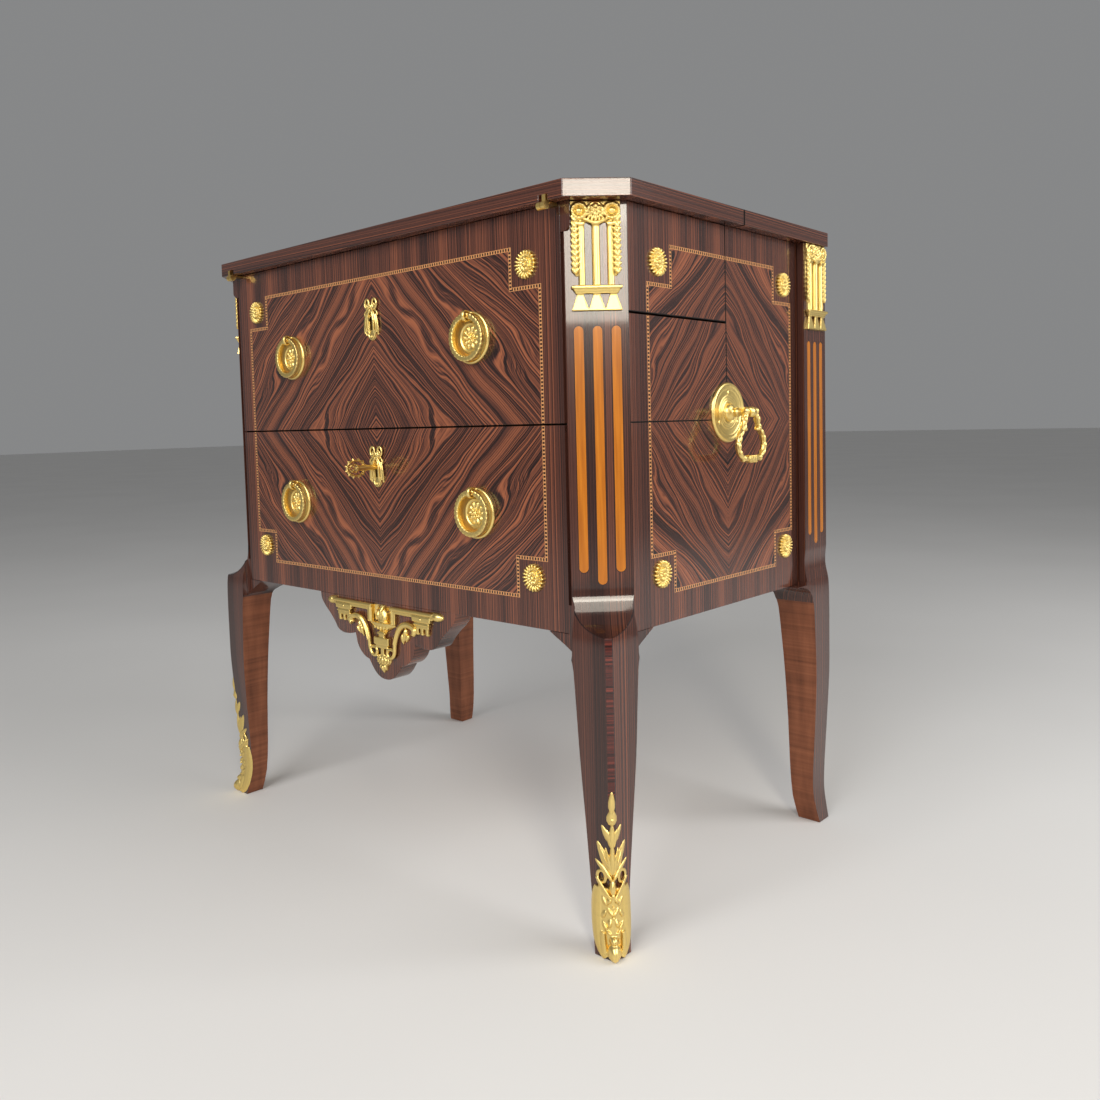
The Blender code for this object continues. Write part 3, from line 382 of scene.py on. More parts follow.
colour = colour.painted(NIGHT, (flutes < FLUTE_LINE) * on_cant).painted(orange, (flutes < 0.0) * on_cant)
colour = colour.painted(brown, inner_face).painted(cherry, strip)
wire(post_wood, grain_height, 0.10, 0.0002, Base_Color=colour,
     Roughness=inner_face * 0.26 + LACQUER["Roughness"],
     Coat_Weight=LACQUER["Coat_Weight"] - inner_face * 0.55)
print("post finish ready")

# %% [markdown]
# The rest of the case is rosewood with straight grain: upright on the apron, along the edge on the top. The
# top itself shows long loops from side to side, and the joint between its two boards is dark. The carcase
# behind is an ordinary pale brown wood.

# %% Straight-grained rosewood, the top and the carcase wood
apron_wood, place, _ = finish("rosewood_apron", **LACQUER)
x, y, z = place.parts()
colour, height = rosewood(x + 0.5, z, 6.0, pitch=560.0, deep=0.065, contrast=0.55)
wire(apron_wood, height, 0.10, 0.0002, Base_Color=colour)

top_wood, place, normal = finish("rosewood_top", **LACQUER)
x, y, z = place.parts()
face, face_height = rosewood(y, x, 14.0, bend=0.05, loops=(5.0, 16.0))
edge, edge_height = rosewood(z * 1.5 + (x + y) * 0.02, x + y, 17.0, pitch=460.0, deep=0.035, contrast=0.62)
flat = abs(normal.parts()[2]) > 0.6
board_joint = (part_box("leaf")[1].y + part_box("rear_top")[0].y) / 2
gap = abs(y - board_joint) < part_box("rear_top")[0].y - board_joint + 0.0012
wire(top_wood, face_height * flat + edge_height * (1 - flat), 0.10, 0.0002,
     Roughness=gap * 0.6 + LACQUER["Roughness"],
     Base_Color=edge.painted(face, flat).painted(JOINT, gap), Coat_Weight=(1 - gap) * LACQUER["Coat_Weight"])

carcase_wood, place, _ = finish("carcase_wood", Roughness=0.55)
x, y, z = place.parts()
rings = (y * 60.0 + x.point(x * 3.0, y * 12.0, z * 12.0).cloud(1.0, 1.0) * 3.0 + z * 70.0).lines(2.0, 0.6)
fibre = x.point(x * 40.0, y * 700.0, z * 700.0).cloud(1.0, 2.0)
tan = (rings * 0.6 + fibre * 0.4).ramp((0.30, (0.22, 0.115, 0.052)), (0.55, (0.33, 0.190, 0.092)),
                                       (0.75, (0.42, 0.260, 0.140)))
wire(carcase_wood, fibre, 0.25, 0.0003, Base_Color=tan, Roughness=fibre * 0.2 + 0.45)
print("woods ready, boards meet at y %.4f" % board_joint)

# %% [markdown]
# The mounts are cast bronze, gilded and a little worn: bright on the high edges, with darker brown in the
# hollows where polish and dirt stay. The lock parts are plain brass and steel, and the writing leaf is lined
# with leather.

# %% Metals and leather
def gilt(name, bright, hollow, rough):
    material, place, _ = finish(name, Metallic=1.0)
    ridges = place.make("NewGeometry", out=7)
    mottle = place.cloud(420.0, 3.0, 0.6)
    worn = (ridges + (mottle - 0.5) * 0.05).between(0.425, 0.520)
    colour = worn.ramp((0.0, hollow), (0.50, tuple(0.80 * c for c in bright)), (1.0, bright))
    grain = place.cloud(1400.0, 2.0, 0.6)
    return wire(material, grain, 0.10, 0.0002, Base_Color=colour, Roughness=rough + 0.16 * (1 - worn)
                + (mottle - 0.5) * 0.12)


gilt_bronze = gilt("gilt_bronze", (0.90, 0.675, 0.240), (0.15, 0.084, 0.015), 0.32)
brass = gilt("lock_brass", (0.80, 0.56, 0.19), (0.20, 0.11, 0.025), 0.30)

steel, place, _ = finish("lock_steel", Metallic=1.0)
x, y, z = place.parts()
brushed = x.point(x * 900.0, y * 60.0, z * 60.0).cloud(1.0, 2.0)
wire(steel, brushed, 0.08, 0.0002, Base_Color=brushed.ramp((0.3, (0.36, 0.36, 0.37)),
                                                           (0.7, (0.56, 0.56, 0.57))),
     Roughness=brushed * 0.25 + 0.22)

leather, place, _ = finish("green_leather")
pebble = place.make("TexVoronoi", {"feature": "DISTANCE_TO_EDGE"}, {"Vector": place, "Scale": 900.0})
patina = place.cloud(14.0, 3.0, 0.6)
wire(leather, pebble.between(0.0, 0.18), 0.35, 0.0003, Roughness=patina * 0.25 + 0.38,
     Base_Color=patina.ramp((0.3, (0.020, 0.045, 0.026)), (0.7, (0.042, 0.085, 0.046))))
print("metals and leather ready")

# %% [markdown]
# Every node that stays gets the finish of what it is. The choice follows the record's material slots, with
# the posts and the show faces set apart by name.

# %% Finishes of the nodes that stay
FINISH = {"rosewood": apron_wood, "secondary_wood": carcase_wood, "gilt_bronze": gilt_bronze, "brass": brass,
          "steel": steel, "leather": leather}


def slot_name(node):
    found = nodes[node].material_slots[0].material.name if nodes[node].material_slots else ""
    for slot in sorted(FINISH, key=len, reverse=True):
        if found.startswith(slot):
            return slot
    return "rosewood"


slot_of = {node: slot_name(node) for node in nodes}


def finish_of(node):
    if node.endswith("_drawer_front") and node.split("_")[0] in ("upper", "lower"):
        return front_veneer
    if node.startswith(("side_panel", "side_drawer_front", "side_filler")):
        return side_veneer
    if node.startswith("post"):
        return post_wood
    if node in ("leaf", "rear_top"):
        return top_wood
    return FINISH[slot_of[node]]


for node, ob in nodes.items():
    for material_slot in ob.material_slots:
        material_slot.material = finish_of(node)
print({slot: list(slot_of.values()).count(slot) for slot in FINISH})

# %% [markdown]
# Real cabinet work has no knife-sharp arris. Each visible wooden piece is a copy of its solid with its
# doubles merged, its flat triangles dissolved and its sharp edges rounded by a small bevel.

# %% Softened copies of the wooden pieces
def only(*obs):
    bpy.ops.object.select_all(action="DESELECT")
    for ob in obs:
        ob.select_set(True)
    bpy.context.view_layer.objects.active = obs[0]
    return obs[0]


def applied(ob, kind, **settings):
    only(ob)
    modifier = ob.modifiers.new(kind.lower(), kind)
    for key, value in settings.items():
        setattr(modifier, key, value)
    bpy.ops.object.modifier_apply(modifier=modifier.name)
    return ob


def edit(ob, *steps, everything=True):
    """Runs steps in Edit Mode, on the whole mesh or on what is selected in it."""
    only(ob)
    bpy.ops.object.mode_set(mode="EDIT")
    if everything:
        bpy.ops.mesh.select_all(action="SELECT")
    for step in steps:
        step()
    bpy.ops.object.mode_set(mode="OBJECT")
    return ob


def smoothed(ob, angle=30.0):
    only(ob)
    bpy.ops.object.shade_smooth_by_angle(angle=math.radians(angle))
    return ob


def hand_over(piece, name, material, slot, body, *replaced):
    piece.name = piece.data.name = name
    piece.data.materials.clear()
    piece.data.materials.append(material)
    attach(piece, body)
    if replaced:
        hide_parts(*replaced)
    return piece


def copied(node):
    mesh = nodes[node].data.copy()
    piece = bpy.data.objects.new(node + "_copy", mesh)
    bpy.context.scene.collection.objects.link(piece)
    return edit(piece, lambda: bpy.ops.mesh.remove_doubles(threshold=0.00002),
                lambda: bpy.ops.mesh.dissolve_limited(angle_limit=math.radians(0.6)))


def softened(node, edge, segments=2, angle=32.0):
    piece = copied(node)
    applied(piece, "BEVEL", width=edge, segments=segments, limit_method="ANGLE",
            angle_limit=math.radians(angle))
    smoothed(piece, 40.0)
    applied(piece, "WEIGHTED_NORMAL", weight=100, keep_sharp=True)
    return hand_over(piece, node + "_soft", finish_of(node), slot_of[node], body_of[node], node)


SOFT_EDGES = {"upper_drawer_front": 0.0003, "lower_drawer_front": 0.0003, "side_panel": 0.0005,
              "side_drawer_front": 0.0005, "side_filler": 0.0005, "leaf": 0.0009, "rear_top": 0.0009,
              "post_rear": 0.0009}
soft = [softened(node, edge) for key, edge in SOFT_EDGES.items() for node in sorted(nodes)
        if node == key or node in (key + "_left", key + "_right")]
print("softened", len(soft), "pieces")

# %% [markdown]
# The mounts were modelled in wax, cast and chased, so their forms run into each other. Each is built lying
# flat, x across, y up and z out of the wood, in millimetres: bosses, petals, bars, strands and turned rings
# overlap, a fine remesh welds them into one skin, a little smoothing takes off the edges, and a cut leaves a
# flat back.

# %% Tools for the cast mounts
FULL = 1000.0  # a size that leaves a piece as it is


def blank(kind, **size):
    bpy.ops.object.select_all(action="DESELECT")
    getattr(bpy.ops.mesh, "primitive_" + kind + "_add")(**size)
    return bpy.context.object


def settled(ob, at, size, turn=0.0):
    ob.scale = [v * MM for v in size]
    ob.rotation_euler = (0.0, 0.0, math.radians(turn))
    ob.location = [v * MM for v in at]
    only(ob)
    bpy.ops.object.transform_apply(location=True, rotation=True, scale=True)
    return ob


def rolled(ob, axis, angle=math.pi / 2):
    return edit(ob, lambda: bpy.ops.transform.rotate(value=angle, orient_axis=axis,
                                                     center_override=(0, 0, 0)))


def boss(x, y, across, up, high, turn=0.0, lift=0.0):
    return settled(blank("uv_sphere", segments=14, ring_count=9), (x, y, lift), (across, up, high), turn)


def petal(x, y, across, long, high, turn=0.0, lift=0.0, taper=1.3):
    ob = applied(blank("uv_sphere", segments=12, ring_count=9), "SIMPLE_DEFORM", deform_method="TAPER",
                 deform_axis="Y", factor=-taper)
    return settled(ob, (x, y, lift), (across, long, high), turn)


def bar(x0, x1, y0, y1, high, lift=0.0, ease=0.5, turn=0.0):
    ob = settled(blank("cube", size=1.0), ((x0 + x1) / 2, (y0 + y1) / 2, lift + high / 2),
                 (abs(x1 - x0), abs(y1 - y0), high), turn)
    return applied(ob, "BEVEL", width=ease * MM, segments=2)


def line_of(points, kind, radii, closed):
    bpy.ops.object.select_all(action="DESELECT")
    bpy.ops.curve.primitive_nurbs_path_add()
    curve = bpy.context.object.data
    curve.splines.clear()
    spline = curve.splines.new(kind)
    spline.points.add(len(points) - 1)
    for k, point in enumerate(points):
        spline.points[k].co = (*[v * MM for v in point], 1.0)
        spline.points[k].radius = radii[k] if radii else 1.0
    spline.use_cyclic_u, spline.use_endpoint_u = closed, not closed
    if kind == "NURBS":
        spline.order_u = 4
    return bpy.context.object


def strand(points, thick, radii=None, closed=False):
    ob = line_of(points, "NURBS", radii, closed)
    ob.data.bevel_depth, ob.data.bevel_resolution, ob.data.resolution_u = thick * MM, 3, 5
    ob.data.use_fill_caps = True
    bpy.ops.object.convert(target="MESH")
    return bpy.context.object


def turned(profile, x=0.0, y=0.0, steps=48):
    ob = line_of([(r, 0.0, h) for r, h in profile], "POLY", None, False)
    bpy.ops.object.convert(target="MESH")
    ob = applied(bpy.context.object, "SCREW", axis="Z", steps=steps, render_steps=steps,
                 use_merge_vertices=True,
                 merge_threshold=0.00001)
    edit(ob, lambda: bpy.ops.mesh.remove_doubles(threshold=0.00002),
         lambda: bpy.ops.mesh.normals_make_consistent(inside=False))
    return settled(ob, (x, y, 0.0), (FULL, FULL, FULL))


def cast(parts, voxel=0.5, rounds=2, back=True):
    ob = only(*parts)
    bpy.ops.object.join()
    applied(ob, "REMESH", mode="VOXEL", voxel_size=voxel * MM)
    applied(ob, "SMOOTH", factor=0.5, iterations=rounds)
    if back:
        edit(ob, lambda: bpy.ops.mesh.bisect(plane_co=(0, 0, 0), plane_no=(0, 0, 1), clear_inner=True),
             lambda: bpy.ops.mesh.fill(use_beauty=False))
    return smoothed(ob, 50.0)


def standing(tangent, out, origin):
    return Matrix.Translation(origin) @ Matrix((tangent, (0, 0, 1), out)).transposed().to_4x4()


def on_front(x, z):
    return standing((1, 0, 0), (0, -1, 0), (x, FRONT, z))


def on_side(sx, y, z):
    return standing((0, sx, 0), (sx, 0, 0), (sx * SIDE, y, z))


def mounted(master, name, matrix, body, *replaced):
    only(master)
    bpy.ops.object.duplicate()
    piece = bpy.context.object
    piece.matrix_world = matrix
    bpy.ops.object.transform_apply(location=True, rotation=True, scale=True)
    return hand_over(piece, name, gilt_bronze, "gilt_bronze", body, *replaced)


def turn_about(count, start=0.0):
    return [start + 360.0 * k / count for k in range(count)]


def polar(radius, angle):
    return radius * math.cos(math.radians(angle)), radius * math.sin(math.radians(angle))


def middle_of(node):
    low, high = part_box(node)
    return (low + high) / 2


print("mount tools ready")

# %% [markdown]
# Twelve rosettes fill the notches of the stringing, four on the drawers and four on each side. Each has a
# ring of long narrow petals, a groove, a small flower above it and a bud. One is modelled and copied.

# %% Rosettes
def rosette(outer, inner, radius, high):
    parts = [turned([(0.0, 0.0), (0.78 * radius, 0.0), (0.78 * radius, 0.30 * high),
                     (0.54 * radius, 0.42 * high),
                     (0.50 * radius, 0.30 * high), (0.45 * radius, 0.52 * high), (0.0, 0.60 * high)])]
    for angle in turn_about(outer):
        x, y = polar(0.73 * radius, angle)
        parts.append(petal(x, y, 0.098 * radius, 0.27 * radius, 0.60 * high, angle - 90, 0.10 * high, -0.8))
    for angle in turn_about(inner, 12.0):
        x, y = polar(0.32 * radius, angle)
        parts.append(petal(x, y, 0.105 * radius, 0.15 * radius, 0.28 * high, angle - 90, 0.56 * high, -0.7))
    parts.append(boss(0, 0, 0.15 * radius, 0.15 * radius, 0.34 * high, 0, 0.64 * high))
    return parts


ROSE_REACH = 0.1335
rose = cast(rosette(20, 10, 15.4, 6.0), 0.37, 1)
for level in ("upper", "lower"):
    for sx, side in SIDES:
        spot = middle_of("rosette_%s_%s" % (level, side))
        mounted(rose, "rosette_%s_%s_cast" % (level, side), on_front(spot.x, spot.z), level + "_drawer",
                "rosette_%s_%s" % (level, side))
        for place_name, dy in (("fore", -ROSE_REACH), ("aft", ROSE_REACH)):
            rider = "side_drawer_" + side if level == "upper" and dy < 0 else "case"
            mounted(rose, "side_rosette_%s_%s_%s" % (level, place_name, side),
                    on_side(sx, MIDDLE_Y + dy, spot.z), rider)
bpy.data.objects.remove(rose)
print("12 rosettes")

# %% [markdown]
# A ring pull is a turned plate with a polished rim, a hollow and a raised middle with a flower. The ring is
# a wreath of laurel leaves and hangs in an eye at the top of the plate, so it is a piece of its own that
# swings.

# %% Ring pulls
RING_MAJOR = 23.3
pull_at = middle_of("pull_ring_upper_right")
ring_out = (FRONT - pull_at.y) / MM
plate_parts = [turned([(0, 0), (29, 0), (29, 1.6), (28.4, 3.0), (27.0, 3.7), (25.6, 3.3), (24.4, 2.2),
                       (21.5, 1.5),
                       (18.5, 1.5), (17.2, 2.0), (16.6, 3.0), (15.6, 3.5), (14.6, 3.0), (13.6, 2.2),
                       (0, 2.4)], steps=72)]
for angle in turn_about(10):
    x, y = polar(8.6, angle)
    plate_parts.append(petal(x, y, 2.1, 4.4, 2.6, angle + 90, 1.2, 0.8))
for angle in turn_about(6, 15.0):
    x, y = polar(4.3, angle)
    plate_parts.append(petal(x, y, 1.5, 2.6, 2.6, angle + 90, 2.4, 0.6))
plate_parts.append(boss(0, 0, 2.6, 2.6, 3.6, 0, 2.6))
eye = blank("torus", major_radius=5.3, minor_radius=1.35, major_segments=24, minor_segments=10)
rolled(eye, "Y")
plate_parts += [settled(eye, (0, RING_MAJOR, ring_out), (2.2, 1.0, 1.0)),
                bar(-3.4, 3.4, RING_MAJOR - 3.6, RING_MAJOR + 3.4, ring_out - 5.2, 0.5),
                boss(0, RING_MAJOR + 3.6, 3.6, 2.6, 3.6, 0, ring_out - 6.0)]
plate = cast(plate_parts, 0.52, 2)
ring_parts = [settled(blank("torus", major_radius=RING_MAJOR, minor_radius=3.2, major_segments=64,
                            minor_segments=12),
                      (0, 0, 0), (1, 1, 0.84))]
for angle in turn_about(30):
    for row, tilt in ((-1.9, 16), (1.9, -16)):
        x, y = polar(RING_MAJOR + row, angle)
        for lift in (1.75, -1.75):
            ring_parts.append(petal(x, y, 1.25, 2.7, 0.95, angle + tilt, lift, 0.9))
ring = cast(ring_parts, 0.46, 1, back=False)
for level in ("upper", "lower"):
    for sx, side in SIDES:
        tag = level + "_" + side
        spot = middle_of("pull_ring_" + tag)
        mounted(plate, "pull_plate_%s_cast" % tag, on_front(spot.x, spot.z), level + "_drawer",
                "pull_plate_" + tag)
        mounted(ring, "pull_ring_%s_cast" % tag, standing((1, 0, 0), (0, -1, 0), spot), "ring_" + tag,
                "pull_ring_" + tag)
bpy.data.objects.remove(plate)
bpy.data.objects.remove(ring)
print("4 ring pulls, ring %.1f mm out of the wood" % ring_out)

# %% [markdown]
# The corner mounts look like the head of a fluted column: a volute at each side with a bright round eye, a
# flower between them, three bars, husk garlands that hang from the volutes, and below a moulded ledge with
# three drops.

# %% Corner mounts
def garland(x, top, foot, count):
    drop = (top - foot) / count
    parts = [settled(strand([(x, top, 0), (x, (top + foot) / 2, 0), (x, foot + 3.0, 0),
                             (x - 0.1 * x, foot - 2.0, 0)], 3.5,
                            (1.0, 1.0, 0.95, 0.4)), (0, 0, 0), (FULL, FULL, 1.1 * FULL))]
    for k in range(count):
        y = top - drop * (k + 0.5)
        for lean in (-1, 1):
            parts.append(petal(x + lean * 1.7, y, 1.5, 0.70 * drop, 1.7, 180 - 26 * lean, 2.9, 1.0))
        parts.append(boss(x, y - 0.2 * drop, 0.9, 0.45 * drop, 1.0, 0, 4.1))
    return parts


VOLUTE_X, VOLUTE_Y, FLOWER_Y = 16.4, 97.8, 98.6
DIAGONAL = math.sqrt(0.5)
capital_parts = [bar(-25, 25, 86.5, 107.8, 2.4, 0, 0.4), bar(-25.5, 25.5, 21.4, 24.6, 6.6, 0, 0.8),
                 bar(-23.4, 23.4, 18.8, 21.8, 5.2, 0, 1.2), bar(-21.8, 21.8, 16.6, 19.2, 4.2, 0, 0.6)]
for x, half in ((-14.6, 3.6), (0.0, 4.2), (14.6, 3.6)):
    reed = strand([(x, 22.0, 0), (x, 44.0, 0), (x, 66.0, 0), (x, 88.0, 0)], half)
    drop = settled(blank("cone", vertices=4, radius1=1.0, radius2=0.33, depth=1.0), (0, 0, 0),
                   (FULL, FULL, FULL))
    rolled(rolled(drop, "Z", math.pi / 4), "X")
    capital_parts += [settled(reed, (0, 0, 0), (FULL, FULL, 1.05 * FULL)),
                      bar(x - half, x + half, 83.6, 87.0, 4.6, 0, 0.8),
                      settled(drop, (x * 1.14, 8.3, 1.5), (12.3, 17.0, 4.4))]
for sx in (-1, 1):
    capital_parts += [turned([(0, 0), (8.9, 0), (8.9, 3.4), (8.2, 4.6), (6.8, 5.0), (5.4, 4.4), (4.6, 3.2),
                              (0, 3.2)],
                             sx * VOLUTE_X, VOLUTE_Y), boss(sx * VOLUTE_X, VOLUTE_Y, 3.8, 3.8, 2.9, 0, 3.4)]
    for angle in turn_about(13):
        x, y = polar(6.9, angle)
        capital_parts.append(petal(sx * VOLUTE_X + x, VOLUTE_Y + y, 1.2, 2.0, 1.1, angle + sx * 30, 4.6, 0.8))
    capital_parts += garland(sx * 21.3, 93.0, 36.0, 10)
    capital_parts.append(strand([(sx * 12.0, 90.6, 3.0), (sx * 8.6, 88.4, 3.6), (sx * 4.4, 86.4, 4.0),
                                 (0, 85.8, 4.2)], 1.9,
                                (0.6, 1.0, 1.1, 1.1)))
capital_parts.append(boss(0, 91.6, 9.6, 5.6, 4.4))
for angle in (-150, -130, -110, -90, -70, -50, -30):
    x, y = polar(10.2, angle)
    capital_parts.append(petal(x, FLOWER_Y + 0.9 * y, 1.2, 3.6, 1.8, angle - 90, 3.8, 0.6))
capital_parts += [turned([(0, 0), (8.3, 0), (8.3, 3.6), (7.6, 4.6), (6.4, 4.2), (5.8, 3.6), (0, 3.6)], 0,
                         FLOWER_Y)]
for angle in turn_about(6, 30.0):
    x, y = polar(3.7, angle)
    capital_parts.append(petal(x, FLOWER_Y + y, 2.3, 2.7, 2.4, angle - 90, 3.8, -0.5))
capital_parts += [boss(0, FLOWER_Y, 1.9, 1.9, 2.2, 0, 5.0), bar(-7.0, 7.0, 105.0, 107.4, 3.4, 0, 0.6)]
capital = cast(capital_parts, 0.6, 1)
for sx, side in SIDES:
    low_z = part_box("capital_front_" + side)[0].z
    base = Vector((sx * (SIDE - CANT / 2), FRONT + CANT / 2, low_z))
    along, out = (DIAGONAL, sx * DIAGONAL, 0), (sx * DIAGONAL, -DIAGONAL, 0)
    mounted(capital, "capital_front_%s_cast" % side, standing(along, out, base),
            "case", "capital_front_" + side)
    mounted(capital, "capital_rear_%s_cast" % side,
            standing((0, sx, 0), (sx, 0, 0), (sx * (PILASTER - 0.0003), PILASTER_Y, low_z)), "case",
            "capital_rear_" + side)
print("4 corner mounts,", len(capital.data.polygons), "faces each")
bpy.data.objects.remove(capital)

# %% [markdown]
# Each keyhole has a small cartouche with a ribbon bow above it, leaf curls at its sides and a pointed foot.
# The keyhole is cut through it after casting, with a round and a slot.

# %% Keyhole mounts
lock_parts = [boss(0, -5.0, 10.8, 14.5, 2.6), boss(0, -17.0, 7.4, 8.4, 2.4),
              boss(0, -20.6, 1.5, 1.5, 1.6, 0, 2.3),
              boss(0, 15.6, 2.8, 3.2, 4.0), boss(0, 11.0, 6.0, 4.4, 3.2),
              strand([(-7.2, -13.0, 1.6), (-6.0, -20.5, 1.7), (0, -26.6, 1.7), (6.0, -20.5, 1.7),
                      (7.2, -13.0, 1.6)], 1.3)]
for m in (-1, 1):
    lock_parts += [
        strand([(m * 7.0 + polar(4.2, a)[0], 19.0 + polar(6.0, a)[1], 2.0) for a in turn_about(12)], 1.5,
               None, True),
        strand([(m * 3.2, 20.2, 2.0), (m * 6.4, 19.6, 2.2), (m * 8.4, 17.4, 2.2), (m * 6.2, 15.4, 2.0)], 1.0),
        strand([(m * 6.5, 11.8, 2.0), (m * 10.4, 10.2, 2.2), (m * 12.8, 7.6, 2.2), (m * 12.0, 4.4, 1.8)],
               1.15),
        strand([(m * 1.5, 12.0, 3.0), (m * 4.6, 6.5, 3.4), (m * 5.8, -2.0, 3.2), (m * 5.2, -11.0, 2.8),
                (m * 4.8, -17.0, 2.2)], 1.5, (0.7, 1.0, 1.1, 1.0, 0.7)),
        strand([(m * 3.0, 11.5, 2.8), (m * 8.0, 6.0, 3.0), (m * 9.6, -2.0, 2.8), (m * 9.8, -10.0, 2.4),
                (m * 9.0, -16.0, 1.6)], 1.6, (0.7, 1.0, 1.1, 1.0, 0.7)),
        strand([(m * 9.4, 6.0, 2.2), (m * 12.2, -1.0, 2.2), (m * 12.9, -9.0, 2.0), (m * 12.3, -16.4, 1.6)],
               1.4),
        boss(m * 12.2, -13.4, 1.8, 2.8, 2.4), boss(m * 11.2, -17.4, 1.5, 1.9, 1.8)]
escutcheon = cast(lock_parts, 0.36, 1)
cutter = only(turned([(0, -4), (3.75, -4), (3.75, 9), (0, 9)], 0, 0, 24),
              bar(-1.9, 1.9, -12.6, 0, 14, -4, 0.2))
bpy.ops.object.join()
applied(cutter, "REMESH", mode="VOXEL", voxel_size=0.3 * MM)
applied(escutcheon, "BOOLEAN", operation="DIFFERENCE", object=cutter, solver="EXACT")
smoothed(escutcheon, 50.0)


def joint_place(name):
    return next(joint for joint in frame["joints"] if joint["name"] == name)["pos_m"]


key_at = joint_place("key_turn")
for level in ("upper", "lower"):
    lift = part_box("escutcheon_" + level)[0].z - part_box("escutcheon_lower")[0].z
    mounted(escutcheon, "escutcheon_%s_cast" % level, on_front(0.0, key_at[2] + lift), level + "_drawer",
            "escutcheon_" + level)
bpy.data.objects.remove(escutcheon)
bpy.data.objects.remove(cutter)
print("2 keyhole mounts, the lower at z %.4f" % key_at[2])

# %% [markdown]
# The apron is a shaped board under the lower drawer, cut in three lobes on each side. Its outline is drawn
# as a flat curve, smooth between the corners where two lobes meet, and the curve gets its thickness and a
# small round from its own extrusion and bevel. The veneer of the drawer front runs on over it, so it takes
# that finish.

# %% Apron board
APRON_ROUND = 0.8 * MM
LOBES = [[(132.5, 326.4), (131.0, 318.0), (126.0, 311.0), (113.0, 299.5), (102.5, 289.0), (96.5, 281.5),
          (88.0, 277.8),
          (77.0, 277.0), (66.0, 278.4), (59.0, 280.2)],
         [(57.4, 274.6), (54.8, 266.0), (48.6, 258.0), (40.5, 252.2), (31.6, 249.4)],
         [(28.2, 244.6), (22.2, 237.6), (13.4, 231.0), (0.0, 228.2)]]
corners = {LOBES[0][0], LOBES[0][-1], LOBES[1][-1]}
half_edge = sum(LOBES, [])
apron_low, apron_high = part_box("apron")
bpy.ops.object.select_all(action="DESELECT")
bpy.ops.curve.primitive_bezier_curve_add()
board = bpy.context.object
curve = board.data
curve.splines.clear()
spline = curve.splines.new("BEZIER")
edge = [(x, z, (x, z) in corners) for x, z in half_edge] + [(-x, z, (x, z) in corners) for x,
                                                            z in half_edge[-2::-1]]
spline.bezier_points.add(len(edge) - 1)
for point, (x, z, corner) in zip(spline.bezier_points, edge):
    point.co = (x * MM, z * MM, 0.0)
    point.handle_left_type = point.handle_right_type = "VECTOR" if corner else "AUTO"
spline.use_cyclic_u = True
thick = apron_high.y - apron_low.y
curve.dimensions, curve.fill_mode, curve.resolution_u = "2D", "BOTH", 8
curve.extrude, curve.bevel_depth, curve.offset = thick / 2 - APRON_ROUND, APRON_ROUND, -APRON_ROUND
curve.bevel_resolution = 2
bpy.ops.object.convert(target="MESH")
board = bpy.context.object
board.matrix_world = standing((1, 0, 0), (0, -1, 0), (0.0, (apron_low.y + apron_high.y) / 2, 0.0))
bpy.ops.object.transform_apply(location=True, rotation=True, scale=True)
edit(board, lambda: bpy.ops.mesh.remove_doubles(threshold=0.00002),
     lambda: bpy.ops.mesh.normals_make_consistent(inside=False))
smoothed(board, 35.0)
hand_over(board, "apron_board", finish_of("lower_drawer_front"), "rosewood", body_of["apron"], "apron")
print("apron board", [round(v, 4) for v in board.dimensions])

# %% [markdown]
# The apron mount hangs under the front: two moulded bars with acorn knobs step down to an urn with a flame,
# scrolled arms with leaf pendants carry it, and ribbon loops and a berried boss end it below. The urn's bowl
# is turned and then laid on its side and flattened.

